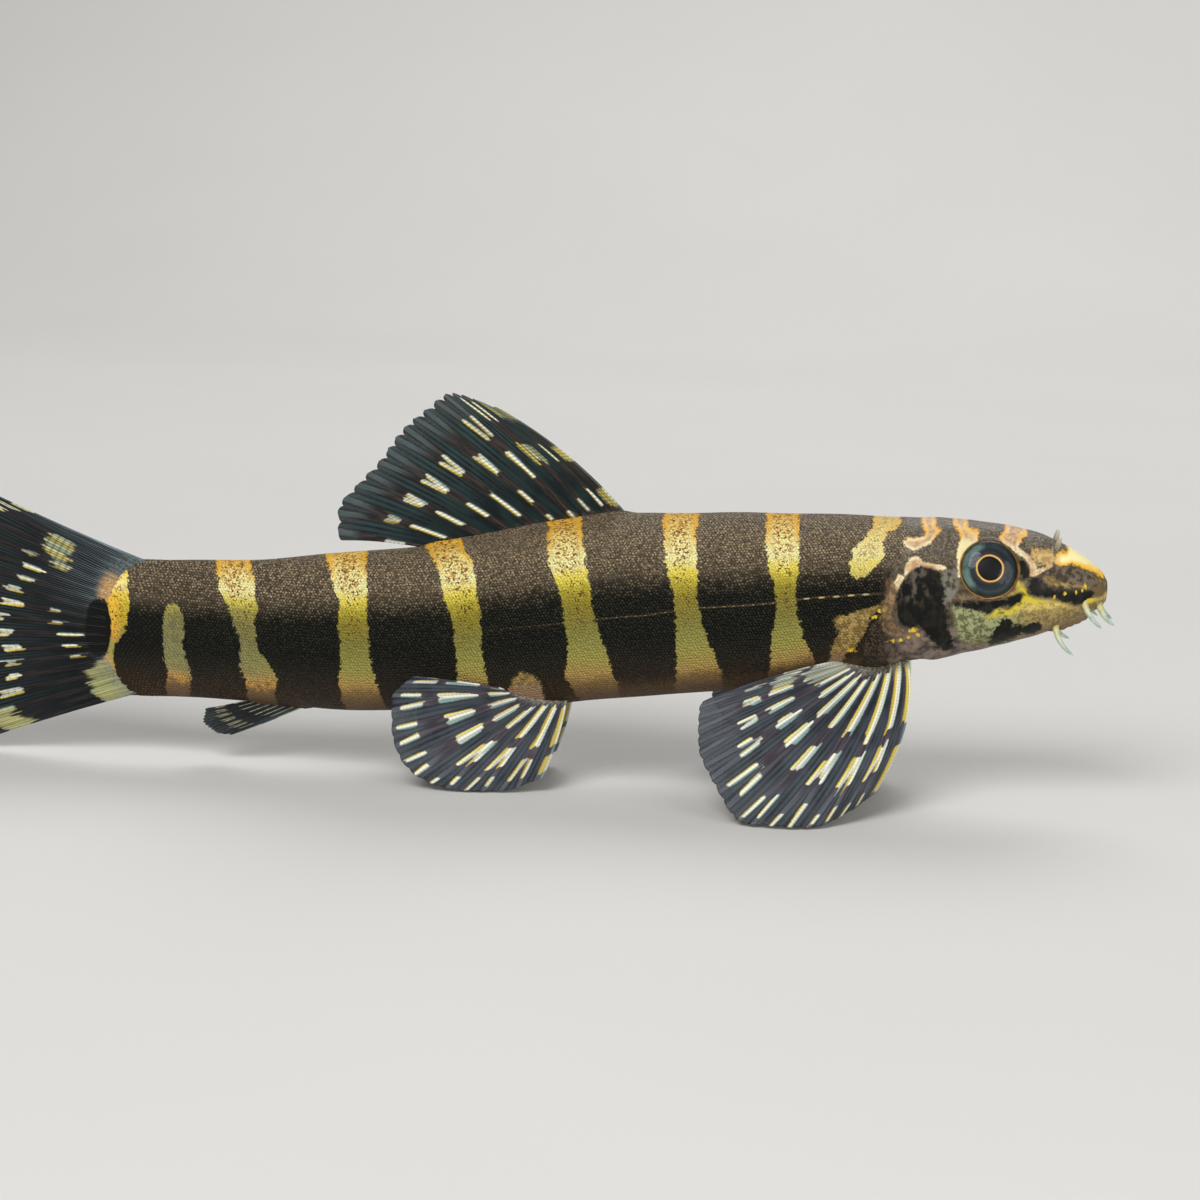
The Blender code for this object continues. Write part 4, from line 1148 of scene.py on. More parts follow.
def turned(name, radius, height, flip, material):
    """A form turned about the eye's axis from a profile of radius and height."""
    sideways = unit(np.cross(EYE_AXIS, (0.0, 0.0, 1.0)))
    upwards = np.cross(sideways, EYE_AXIS)
    turn = np.linspace(0, 2 * np.pi, EYE_RING, endpoint=False)
    spoke = np.cos(turn)[:, None] * sideways + np.sin(turn)[:, None] * upwards
    points = EYE_CENTRE + radius[:, None, None] * spoke[None] + height[:, None, None] * EYE_AXIS
    faces = tube_faces(len(radius), EYE_RING)
    if flip < 0:
        faces = [group[:, ::-1] for group in faces]
    values = {"radius": np.repeat(radius, EYE_RING), "above": np.tile(np.sin(turn), len(radius)),
              "ahead": np.tile(np.cos(turn), len(radius))}
    return make_piece(name, points * (1, flip, 1), faces, material, "eye", values)


def dome(radius, height):
    return height * np.maximum(1 - (radius / EYE_RADIUS) ** EYE_FULLNESS, 0.0) ** (1 / EYE_FULLNESS)


spread = np.sin(np.linspace(0.02, 0.5 * np.pi, 44)) * EYE_RADIUS
iris_height = dome(spread, IRIS_HEIGHT)
iris_height += LENS_HEIGHT * np.sqrt(np.maximum(1 - (spread / PUPIL_RADIUS) ** 2, 0.0))
for radius, width, height in IRIS_FOLDS:
    iris_height += height * bump(spread - radius, width)
iris_radius = np.concatenate((spread, [EYE_RADIUS * 0.96, EYE_RADIUS * 0.8]))
iris_height = np.concatenate((iris_height, [-0.4 * EYE_BACK, -EYE_BACK]))
cornea_radius = np.concatenate((spread * 1.015, [EYE_RADIUS * 0.97, EYE_RADIUS * 0.82]))
cornea_height = np.concatenate((dome(spread, CORNEA_HEIGHT), [-0.5 * EYE_BACK, -1.05 * EYE_BACK]))
iris, cornea = eye_paint(), cornea_paint()
for side_name, flip in SIDES:
    ball = turned(f"eye_{side_name}_iris", iris_radius, iris_height, flip, iris)
    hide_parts(f"eye_{side_name}")
    turned(f"eye_{side_name}_cornea", cornea_radius, cornea_height, flip, cornea)
print("eye across in mm:", round(2 * EYE_RADIUS, 2))

# %% [markdown]
# ## Barbels and nostril flaps
# Three pairs of soft feelers taste the ground in front of the mouth: two pairs on the snout's lip
# and one at the corners of the mouth. They are pale, tapered and a little bent, so each is a tube
# that is drawn along a curve and thins towards its tip.

# %% Barbels
def tube_points(path, radii, sides):
    """Rings of points round a path, with a radius for each point of it."""
    course = unit(np.gradient(path, axis=0))
    sideways = unit(np.cross(course, (0.03, 0.02, 1.0)))
    upwards = np.cross(sideways, course)
    turn = np.linspace(0, 2 * np.pi, sides, endpoint=False)[None, :, None]
    ring = np.cos(turn) * sideways[:, None] + np.sin(turn) * upwards[:, None]
    return path[:, None] + ring * np.asarray(radii)[:, None, None]


BARBELS = {
    # place of the root on the skin as x and height, and the tip
    "barbel_rostral_inner": ((37.85, 13.62), (38.75, 1.2, 12.35)),
    "barbel_rostral_outer": ((36.85, 13.85), (37.9, 2.3, 12.3)),
    "barbel_maxillary": ((35.1, 12.2), (36.2, 3.0, 10.6)),
}


def on_skin(x, z, flip=1):
    """The skin's point and outward normal at x and height z on one flank."""
    back, belly, _, widest = section(np.array(x, float))
    above = z > widest
    share = (z - widest) / np.where(above, back - widest, widest - belly)
    power = np.where(above, UPPER_ROUND, LOWER_ROUND)
    turn = np.arcsin(np.clip(np.sign(share) * np.abs(share) ** (power / 2), -1, 1))
    turn = turn if flip > 0 else np.pi - turn
    point, normal = skin_points(np.array([x], float), np.array([turn], float).ravel())
    return point[0], normal[0]


n = Nodes("loach_barbels")
colour = n.ramp(n.number("share"), ((0.0, (196, 166, 78)), (0.16, (214, 206, 140)),
                                    (0.45, (206, 214, 186)), (1.0, (168, 196, 188))))
colour = n.blend(n.noise(0.35).step(0.5, 0.7) * 0.3, colour, (104, 122, 112))
n.bumped(n.noise(0.12), 0.03)
n.shader.inputs["Subsurface Weight"].default_value = 0.25
n.shader.inputs["Subsurface Radius"].default_value = (0.5 * MM, 0.4 * MM, 0.3 * MM)
barbel_paint = n.finish(colour, 0.35, coat=0.15)
BARBEL_RINGS, BARBEL_SIDES = 34, 16
for name, ((x, z), tip) in BARBELS.items():
    for side_name, flip in SIDES:
        start, away = on_skin(x, z, flip)
        tip_here = np.array(tip) * (1, flip, 1)
        s = np.linspace(0, 1, BARBEL_RINGS)[:, None]
        bend = start + away * 0.60 + np.array((-0.22, 0.0, -0.62))
        path = (1 - s) ** 2 * (start - away * 0.25) + 2 * s * (1 - s) * bend + s ** 2 * tip_here
        s = s[:, 0]
        radii = 0.165 * (1 - s) ** 0.7 + 0.06 + 0.06 * bump(s, 0.08)
        radii *= 1 + 0.05 * np.sin(40 * s)
        radii[-3:] *= (0.85, 0.6, 0.25)
        piece = make_piece(
            f"{name}_{side_name}", tube_points(path, radii, BARBEL_SIDES),
            tube_faces(BARBEL_RINGS, BARBEL_SIDES), barbel_paint, "barbel",
            {"share": np.repeat(s, BARBEL_SIDES)})
        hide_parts(f"{name}_{side_name}")

# %% [markdown]
# The nostril flap is a leaf of skin: broad at its root, pointed at its tip and curled back over
# the nostril behind it.

# %% Nostril flaps
n = Nodes("loach_nostril_flap")
colour = n.ramp(n.number("share"), ((0.0, (122, 112, 92)), (0.45, (158, 148, 124)),
                                    (0.85, (196, 188, 160)), (1.0, (216, 212, 188))))
n.bumped(n.noise(0.15), 0.03)
flap_paint = n.finish(colour, 0.4, coat=0.1)
FLAP_X, FLAP_Y, FLAP_HEIGHT = 34.85, 1.42, 1.12
FLAP_RINGS = FLAP_SIDES = 18
for side_name, flip in SIDES:
    back, _, half, widest = section(np.array(FLAP_X))
    z = widest + (back - widest) * (1 - (FLAP_Y / half) ** UPPER_ROUND) ** (1 / UPPER_ROUND)
    start, away = on_skin(FLAP_X, float(z), flip)
    lean = unit(away * 0.45 + np.array((0.02, 0.0, 0.9)))
    s = np.linspace(0, 1, FLAP_RINGS)
    curl = np.array((0.10, 0.08 * flip, 0.0))
    path = start - away * 0.12 + lean * (FLAP_HEIGHT * s)[:, None] + curl * (s ** 2)[:, None]
    wide = (0.15 + 0.06 * s) * (1 - s ** 3) ** 0.5 + 0.012
    thick = 0.05 * (1 - s) + 0.022
    across = unit(np.cross(lean, (0.35, 1.0 * flip, 0.0)))
    through_it = np.cross(across, lean)
    turn = np.linspace(0, 2 * np.pi, FLAP_SIDES, endpoint=False)
    ring = (np.cos(turn)[None, :, None] * wide[:, None, None] * across
            + np.sin(turn)[None, :, None] * thick[:, None, None] * through_it)
    ring += (0.55 * wide[:, None] * np.cos(turn)[None] ** 2)[..., None] * through_it
    make_piece(f"nostril_flap_{side_name}", path[:, None] + ring,
               tube_faces(FLAP_RINGS, FLAP_SIDES), flap_paint, "head",
               {"share": np.repeat(s, FLAP_SIDES)})

# %% [markdown]
# ## Fins
# A fin is a row of jointed rays with a film of skin between them. Each soft ray is one stem that
# splits into two and again into four towards the margin, which is why a spread fin looks finely
# pleated there. The fin's surface is laid out first: `share` runs from root to margin and `ray`
# from the first ray to the last. The film is that surface with a little thickness and a fine
# pleat over each ray, and the stems and branches are thin tubes that follow it.

# %% Sizes of films and rays
FILM_HALF = 0.035       # half the thickness of the film
FLOOR_CLEAR = 0.015     # the lowest film just touches the floor
RAY_ROOT = 0.125        # radius of a ray at its root
RAY_TIP = 0.026
FORK = 0.25             # at the margin a ray's halves stand this share of the spacing aside
SECOND_FORK = 0.035     # and the halves of each half this share to its sides
HAIRS = 5               # fine pleats in the spacing of two rays


def on_line(knots, share):
    """Points at shares of the run along the smooth line through a few knots."""
    knots = np.array(knots, float)
    run = run_along(knots)
    return np.stack([through(run, knots[:, i], share * run[-1]) for i in range(3)], axis=-1)

# %% Shape and forks of a fin
class Fin:
    """Places on one fin, and how its rays fork."""

    def __init__(self, rays, root, tips, bow, ripple, notch, forks, plain, widths,
                 edge=0.0, crowd=0.0):
        self.rays, self.root, self.tips, self.bow = rays, root, tips, bow
        self.ripple, self.notch, self.forks = ripple, notch, forks
        self.plain = plain          # numbers of the rays that don't fork
        self.widths = widths        # share of the spacing that a ray fills at root and margin
        self.edge = edge            # the least that share is on a ray that doesn't fork
        self.crowd = crowd          # below 0 the first rays stand closer together, above 0 the last

    def at(self, share, ray):
        """Points on the fin at shares of the way out and at ray numbers that need not be whole."""
        even = np.clip(ray / (self.rays - 1), 0.0, 1.0)
        across = even + self.crowd * even * (1 - even)
        root, tip, bow = self.root(across), on_line(self.tips, across), self.bow(across)
        s = share[..., None]
        middle = (root + tip) / 2 + bow
        return (1 - s) ** 2 * root + 2 * s * (1 - s) * middle + s ** 2 * tip

    def normal(self, share, ray):
        nudge = 0.02
        out = self.at(share + nudge, ray) - self.at(share - nudge, ray)
        side = self.at(share, np.minimum(ray + nudge, self.rays - 1))
        side = side - self.at(share, np.maximum(ray - nudge, 0))
        return unit(np.cross(out, side))

    def rippled(self, share, ray):
        """Places with the fin's soft waves added, and the normal."""
        normal = self.normal(share, ray)
        wave = self.ripple * np.clip(share, 0, 1) ** 1.5 * np.sin(2.1 * ray + 1.5 * share)
        wave = wave + 0.15 * self.ripple * np.clip(share, 0, 1) * np.cos(2 * np.pi * ray)
        return self.at(share, ray) + normal * wave[..., None], normal

    def forked(self, ray):
        return ~np.isin(np.round(ray), self.plain)

    def fork(self, share):
        """How far a ray's halves, and the halves of those, stand apart at a share."""
        first, second = self.forks
        return (FORK * np.clip((share - first) / (1 - first), 0, 1) ** 0.8,
                SECOND_FORK * np.clip((share - second) / (1 - second), 0, 1) ** 0.6)

    def colour_place(self, share, ray):
        """Millimetres outside a ray's colour, negative on it, and the place across it, -1 to 1."""
        wide, narrow = self.fork(share)
        forks = self.forked(ray)
        aside = ray - np.round(ray)
        width = self.widths[0] + (self.widths[1] - self.widths[0]) * np.clip(share, 0, 1) ** 0.7
        width = np.where(forks, width, np.maximum(width, self.edge))
        wide, half = wide * forks, width + narrow * forks
        apart = eased(wide / half, 0.8, 1.2)
        lean = aside / (wide + half) * (1 - apart) + (aside - np.sign(aside) * wide) / half * apart
        low, high = np.maximum(ray - 0.25, 0), np.minimum(ray + 0.25, self.rays - 1)
        spacing = np.linalg.norm(self.at(share, high) - self.at(share, low), axis=-1) / (high - low)
        return (np.abs(np.abs(aside) - wide) - half) * spacing, np.clip(lean, -1.5, 1.5)

    def pace(self, share, ray):
        """Millimetres along the fin for each whole share of the way out."""
        nudge = 0.01
        step = self.at(share + nudge, ray) - self.at(share - nudge, ray)
        return np.linalg.norm(step, axis=-1) / (2 * nudge)

    def limit(self, ray):
        """Share of the way out to the margin: a round lobe at each branch, a slit between."""
        lobe = np.where(self.forked(ray), np.sin(2 * np.pi * ray), np.cos(np.pi * ray))
        lobe = np.abs(lobe)
        uneven = 0.3 * np.sin(7.3 * np.round(2 * ray) + 1.0)
        return 0.995 - self.notch * (1.0 - lobe ** 0.6 + 0.3 + uneven)

# %% [markdown]
# The film has two faces and a rim, so it is a closed sheet. It is thickest at the root and pleated
# between the rays, and it is pressed flat where it would sink into the floor.

# %% Film of a fin
def film(fin, rows=72, between=20):
    """Points, faces and numbers of the film of a fin, both faces of it."""
    columns = (fin.rays - 1) * between + 1
    ray = np.linspace(0, fin.rays - 1, columns)
    share = np.linspace(0, 1, rows)[:, None] ** 0.9 * fin.limit(ray)[None]
    ray = np.broadcast_to(ray[None], share.shape)
    middle, normal = fin.rippled(share, ray)
    web, lean = fin.colour_place(share, ray)
    pleat = eased(web, 0.08, -0.08) * (0.5 + 0.5 * np.cos(2 * np.pi * HAIRS * ray))
    thick = FILM_HALF * (1.7 - share) * (1 + 0.45 * pleat)
    length = np.cumsum(np.linalg.norm(np.diff(middle, axis=0, prepend=middle[:1]), axis=-1), axis=0)
    faces_of = []
    for way in (1, -1):
        face = middle + way * normal * thick[..., None]
        laid = FLOOR_CLEAR + 2 * thick * np.maximum(way * normal[..., 2], 0.0)
        face[..., 2] = np.maximum(face[..., 2], laid)
        faces_of.append(face.reshape(-1, 3))
    count = rows * columns
    sheet = grid_faces(rows, columns)
    rim = np.concatenate((
        np.arange(columns), np.arange(1, rows) * columns + columns - 1,
        (rows - 1) * columns + np.arange(columns - 2, -1, -1),
        np.arange(rows - 2, 0, -1) * columns))
    ahead = np.roll(rim, -1)
    wall = np.stack((ahead, rim, rim + count, ahead + count), axis=-1)
    faces = np.concatenate((sheet, sheet[:, ::-1] + count, wall))
    values = {"share": share, "ray": ray, "web": web, "lean": lean, "length": length,
              "pace": fin.pace(share, ray), "stem": 0 * share}
    values = {key: np.tile(numbers.ravel(), 2) for key, numbers in values.items()}
    return np.concatenate(faces_of), faces, values

# %% [markdown]
# A ray is drawn as short runs of tube: the stem, its two halves and the four branches at the
# margin. Each run starts a little inside the one it grows from, so no gap shows at a fork.

# %% Rays of a fin
def stems(fin, width=1.0, sides=6):
    """Points, faces and numbers of the rays: stems that fork twice on the way out."""
    first, second = fin.forks
    runs = []           # ray, start, end, which half, which half of that, and how thick
    for k in range(fin.rays):
        if k in fin.plain:
            runs.append((k, -0.03, 1.0, 0, 0, 1.1))
            continue
        runs.append((k, -0.03, first + 0.03, 0, 0, 1.0))
        for way in (-1, 1):
            runs.append((k, first, second + 0.03, way, 0, 0.72))
            runs += [(k, second, 1.0, way, turn, 0.52) for turn in (-1, 1)]
    points, faces, total = [], [], 0
    held = {key: [] for key in ("share", "ray", "length", "web", "lean", "pace", "stem")}
    for k, start, end, way, turn, thin in runs:
        at_margin = np.clip(k + way * FORK + turn * SECOND_FORK, 0, fin.rays - 1)
        end = end if end < 1 else float(fin.limit(np.array([at_margin]))[0]) - 0.006
        rows = max(int((end - start) * 48), 6)
        s = np.linspace(start, end, rows)
        wide, narrow = fin.fork(s)
        ray = np.clip(k + way * wide + turn * narrow, 0, fin.rays - 1)
        path, _ = fin.rippled(s, ray)
        radii = (RAY_ROOT + (RAY_TIP - RAY_ROOT) * np.clip(s, 0, 1) ** 0.6) * width * thin ** 0.6
        radii[-1] *= 0.4
        path[:, 2] = np.maximum(path[:, 2], radii + 0.005)
        points.append(tube_points(path, radii, sides).reshape(-1, 3))
        faces += [group + total for group in tube_faces(rows, sides)]
        total += rows * sides
        reach = np.linalg.norm(path[-1] - path[0]) / max(end - start, 1e-6)
        outside, across = fin.colour_place(s, ray)
        numbers = (s, ray, run_along(path) + start * reach, np.minimum(outside, -0.06), across,
                   fin.pace(s, ray), 0 * s + 1)
        for kept, these in zip(held.values(), numbers):
            kept.append(np.repeat(these, sides))
    return np.concatenate(points), faces, {key: np.concatenate(v) for key, v in held.items()}

# %% [markdown]
# ## Paint of the fins
# Each ray is banded: bright yellow-white dashes alternate with brown ones, and on neighbouring
# rays they line up into stripes across the fin. The dashes are finely cross-barred, as every
# joint of the ray shows, and hair lines run through them where its branches lie side by side.
# The film is clear, dusky and bluish green. Noise drawn out along the rays frays the ends.

# %% Dashes along the rays
ROUND_END = 0.16        # a dash's ends are rounded over this many millimetres


def dashed(values, dashes, stagger):
    """Millimetres outside the nearest bright dash, negative inside, and that dash's strength."""
    share, ray = values["share"], values["ray"]
    strand = np.round(ray * HAIRS).astype(int)
    shifts = random.normal(0, stagger, (2, strand.max() + 1))
    along, strength = np.full(share.shape, FAR_OFF), np.zeros(share.shape)
    for number, runs in enumerate(dashes):
        here = np.round(ray) == number
        for start, end, strong in runs:
            outside = np.maximum(start + shifts[0][strand] - share, share - end - shifts[1][strand])
            outside = np.where(here, outside * values["pace"], FAR_OFF)
            strength = np.where(outside < along, strong, strength)
            along = np.minimum(along, outside)
    corner = np.hypot(np.maximum(values["web"] + ROUND_END, 0), np.maximum(along + ROUND_END, 0))
    deep = np.minimum(np.maximum(values["web"], along) + ROUND_END, 0)
    return corner + deep - ROUND_END, strength


def drawn_out(n, wide, long, seed):
    """Noise whose patches run along the rays: wide of them to a ray, long of them to its length."""
    place = {0: n.number("ray") * wide, 1: n.number("share") * long, 2: seed}
    return n.cloud(n.add("CombineXYZ", 0, place), 1.0)

# %% Fin paint
# Colours across a bright dash from one side of its ray to the other: partly the rays' own
# blue-white and yellow, partly painted light and shade falling across the round ray
DASH_COLOUR_AND_LIGHT = ((0.0, (140, 172, 166)), (0.15, (206, 222, 208)), (0.36, (253, 251, 234)),
         (0.62, (252, 246, 206)), (0.80, (246, 224, 88)), (1.0, (208, 176, 66)))


def fin_paint(name, tint, clear, base, reach, patch, dark, tip, lead, joints, hairs,
              warm_front=0.0, rooted=0.0):
    """The paint of one kind of fin, film and rays alike."""
    n = Nodes(name)
    share, ray, stem, web, fill, bead = map(
        n.number, ("share", "ray", "stem", "web", "fill", "bead"))
    fibre, strand = drawn_out(n, 9.0, 6.0, 2.0), drawn_out(n, 4.0, 3.0, 8.0)
    grain = n.noise(0.16, 1.0, 5.0)
    frayed = (fibre - 0.5) * 0.16 + (grain - 0.5) * 0.08
    waves = n.sum("COSINE", ray * (2 * math.pi * HAIRS))
    hair = waves.step(-0.9, 0.6)
    bundle = (web + frayed).step(0.03, -0.04)
    colour = n.layered(
        # Film: dusky, with hair lines, paler and clearer towards the margin
        n.shades(strand * 0.5 + n.noise(1.6, 2.0, 7.0) * 0.5, 0.40, 0.60, *tint),
        (hair * share.step(0.2, 0.7) * hairs, tip),
        # Brown stretches of the rays, then their pale ends
        ((web + frayed).step(0.13, 0.0) * 0.85, n.blend(fibre.step(0.42, 0.62) * 0.8, *dark)),
        (share.step(0.70, 0.90) * n.sum("MAXIMUM", bundle * 0.26, stem * 0.9), tip))
    if rooted:
        combed = (share + (strand - 0.5) * 0.3).step(rooted, 0.04) * ray.step(9.5, 4.5)
        combed = n.sum("MAXIMUM", combed, ray.step(1.9, 0.4) * share.step(0.75, 0.25))
        combed = combed * waves.step(0.1, 0.9) * (strand.step(0.42, 0.60) * 0.5 + 0.35)
        colour = n.blend(combed, colour, lead)
    # Bright dashes: blue-white on one side of a ray and yellow on the other, partly the rays' own
    # colour and partly painted light and shade across the round ray; barred by its joints
    side = n.number("lean") * 0.5 + 0.5 + (strand - 0.5) * 0.35
    side = side + (ray.step(5.0, 0.8) - 0.6) * warm_front
    period, depth = joints
    joint = n.sum("PINGPONG", n.number("length"), period / 2).step(0.30 * period, 0.06 * period)
    joint = joint * (fill.step(1.4, 0.2) * depth + bead * 0.42)
    bright = n.layered(
        n.ramp(side, DASH_COLOUR_AND_LIGHT), (fill * (0.88 - bead * 0.38), patch),
        (n.sum("MINIMUM", joint, 1.0), dark[1]),
        ((1.0 - hair) * (bead * 0.20 + 0.36), tint[0]))
    soft = fill * (0.30 - bead * 0.18)
    lit = n.number("streak") + frayed * (fill * 2.5 + 1.0)
    lit = lit.step(soft * 0.4 + 0.055, -0.065 - soft) * n.number("strength")
    lit = lit * (1.0 - fill * (strand.step(0.60, 0.36) * 0.45))
    # Skin over the roots, the warm wash and black spot of the tail, and the leading edge
    root = (share + (fibre - 0.5) * 0.12).step(reach[0], 0.3 * reach[0]) * reach[1]
    wash = (n.number("blush") + (strand - 0.5) * 0.6).step(0.25, -0.45) * 0.9
    spot = (n.number("spot") + (grain - 0.5) * 0.25).step(0.16, 0.02)
    colour = n.layered(
        colour, (lit, bright), (root, n.shades(grain, 0.42, 0.60, *base)),
        (wash, n.shades(grain, 0.40, 0.62, (168, 134, 98), (214, 170, 104))), (spot, (4, 4, 4)),
        (ray.step(0.14, 0.03) * (stem * -0.1 + 0.35), lead))
    alpha = bundle * 0.4 + clear + (stem + share.step(0.30, 0.02)) - share.step(0.70, 1.0) * 0.14
    alpha = n.sum("MINIMUM", n.sum("MAXIMUM", alpha, 0.0), 1.0)
    n.bumped(fibre, 0.03)
    return n.finish(colour, 0.4, specular=0.2, alpha=alpha)

# %% [markdown]
# The three kinds of fin share one paint and differ in its colours: the dorsal fin is bluish green,
# the tail fin nearly black, and the paired fins grey with the brightest dashes.

# %% Paints of the three kinds of fin
dorsal_paint = fin_paint(
    "loach_dorsal_fin", tint=((22, 41, 40), (11, 20, 22)), clear=0.93,
    base=((80, 72, 58), (58, 50, 40)), reach=(0.07, 0.85), patch=(226, 218, 116),
    dark=((36, 27, 24), (72, 58, 52)), tip=(124, 154, 156), lead=(140, 160, 156),
    joints=(0.29, 0.40), hairs=0.10)
tail_paint = fin_paint(
    "loach_tail_fins", tint=((11, 20, 22), (4, 8, 10)), clear=0.95,
    base=((120, 132, 132), (78, 84, 84)), reach=(0.16, 0.55), patch=(206, 204, 134),
    dark=((22, 19, 19), (52, 46, 45)), tip=(96, 118, 124), lead=(124, 142, 148),
    joints=(0.46, 0.18), hairs=0.16, warm_front=-0.05, rooted=0.46)
paired_paint = fin_paint(
    "loach_paired_fins", tint=((62, 67, 74), (38, 42, 49)), clear=0.87,
    base=((172, 168, 142), (122, 114, 96)), reach=(0.11, 0.75), patch=(206, 214, 190),
    dark=((58, 50, 56), (90, 84, 90)), tip=(128, 146, 156), lead=(176, 204, 214),
    joints=(0.24, 0.12), hairs=0.16, warm_front=0.26)

# %% Build a fin
def build_fin(name, fin, dashes, fin_material, slot, width=1.0, flip=1, filled=(), stagger=0.01):
    """One piece from the film and the rays of a fin; in a filled patch the film is marked too."""
    film_points, film_faces, film_values = film(fin)
    ray_points, ray_faces, ray_values = stems(fin, width)
    points = np.concatenate((film_points, ray_points))
    faces = [film_faces] + [group + len(film_points) for group in ray_faces]
    if flip > 0:
        faces = [group[:, ::-1] for group in faces]
    values = {key: np.concatenate((film_values[key], ray_values[key])) for key in ray_values}
    ray, share = values["ray"], values["share"]
    values["fill"], values["bead"] = np.zeros(len(points)), np.zeros(len(points))
    for first, last, start, end, beaded in filled:
        here = window(ray, first - 0.2, first + 0.2, last - 0.2, last + 0.2)
        here = here * window(share, start - 0.04, start, end, end + 0.04)
        values["fill"] = np.maximum(values["fill"], here)
        values["bead"] = np.maximum(values["bead"], here * beaded)
    values["web"] = values["web"] - 0.5 * values["fill"]
    values["streak"], values["strength"] = dashed(values, dashes, stagger)
    del values["pace"]
    values["spot"], values["blush"] = np.full((2, len(points)), FAR_OFF)
    if name == "caudal_fin":
        x, z = points[:, 0], points[:, 2]
        values["spot"] = to_tail_spot(x, z)
        values["blush"] = np.minimum.reduce([
            np.hypot((x - cx) / long, (z - cz) / tall) - 1 for cx, cz, long, tall in TAIL_WARM])
    piece = make_piece(name, points * (1, flip, 1), faces, fin_material, slot, values)
    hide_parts(name)
    print(name, "rays:", fin.rays, "triangles:", triangles_of(piece))

# %% [markdown]
# ## The fins along the middle line
# The dorsal fin stands tall behind the middle of the back, with an unbranched ray in front. The
# small anal fin lies folded back under the tail. The tail fin is forked, its lower lobe resting
# on the floor. All three grow out of the skin, so their roots start just inside it. The dashes
# are written ray by ray, from the first: where on the ray each starts and ends, and how strong.

# %% Roots of the middle fins
SINK = 0.25             # how deep a fin's root starts inside the skin
TAIL_WARM = ((-26.6, 10.9, 0.95, 1.4), (-26.5, 6.6, 0.6, 0.5))   # warm wash: x, height, half sizes


def steady(*lift):
    """The same bow for every ray."""
    return lambda across: np.broadcast_to(np.array(lift, float), (*across.shape, 3))


def passing(first, later, reach):
    """A bow that passes from the first ray's to another by the share reach of the rays."""
    first, later = np.array(first, float), np.array(later, float)
    return lambda across: first + (later - first) * np.clip(across / reach, 0, 1)[..., None]


def back_root(across):
    x = 7.3 + (-5.3 - 7.3) * across
    return np.stack((x, 0 * x, section(x)[0] - SINK), axis=-1)


def belly_root(across):
    x = -13.2 + (-16.6 + 13.2) * across
    return np.stack((x, 0 * x, section(x)[1] + SINK), axis=-1)


def tail_root(across):
    spread = 2 * across - 1
    x = -24.4 - 1.9 * (1 - spread ** 2)
    return np.stack((x, 0 * x, 13.15 + (4.5 - 13.15) * across), axis=-1)

# %% Dorsal fin
DORSAL_TIPS = ((-1.6, 0.0, 24.5), (-4.7, 0.0, 25.25), (-6.5, 0.0, 23.9), (-7.9, 0.0, 22.3),
               (-9.2, 0.0, 20.6), (-10.6, 0.0, 18.9), (-11.7, 0.0, 17.1), (-11.7, 0.0, 15.2))
DORSAL_DASHES = (
    ((0.09, 0.22, 0.9), (0.45, 0.58, 1.0), (0.84, 1.0, 0.8)),
    ((0.09, 0.22, 0.9), (0.43, 0.58, 0.9), (0.82, 1.0, 0.7)),
    ((0.03, 0.15, 0.7), (0.40, 0.56, 0.9), (0.75, 0.93, 1.0)),
    ((0.02, 0.08, 0.8), (0.33, 0.52, 1.0), (0.64, 0.80, 0.8)),
    ((0.03, 0.10, 0.8), (0.17, 0.30, 0.9), (0.42, 0.60, 1.0)),
    ((0.12, 0.34, 1.0), (0.53, 0.68, 1.0)),
    ((0.20, 0.36, 1.0), (0.50, 0.68, 1.0)),
    ((0.20, 0.40, 1.0), (0.50, 0.66, 1.0)),
    ((0.13, 0.42, 1.0), (0.50, 0.62, 0.6)),
    ((0.28, 0.52, 0.9),),
)
dorsal = Fin(10, back_root, DORSAL_TIPS, passing((0.72, 0, 0.84), (0, 0, 0.35), 0.4), 0.10, 0.032,
             forks=(0.40, 0.62), plain=(0, 1), widths=(0.16, 0.055), crowd=-0.39)
build_fin("dorsal_fin", dorsal, DORSAL_DASHES, dorsal_paint, "middle_fins",
          filled=((-1.0, 0.6, 0.05, 0.70, 1), (-1.0, 1.3, 0.80, 1.0, 1), (1.6, 2.4, 0.42, 0.55, 1)))

# %% Anal fin
ANAL_TIPS = ((-18.6, 0.0, 1.75), (-19.7, 0.0, 1.95), (-20.4, 0.0, 2.75), (-20.3, 0.0, 3.5))
ANAL_DASHES = [((0.10 + 0.01 * k, 0.40 + 0.01 * k, 0.7), (0.60, 0.80, 0.5)) for k in range(8)]
anal = Fin(8, belly_root, ANAL_TIPS, steady(0, 0, -0.15), 0.05, 0.030,
           forks=(0.40, 0.65), plain=(0, 1), widths=(0.12, 0.06))
build_fin("anal_fin", anal, ANAL_DASHES, tail_paint, "middle_fins", 0.7)

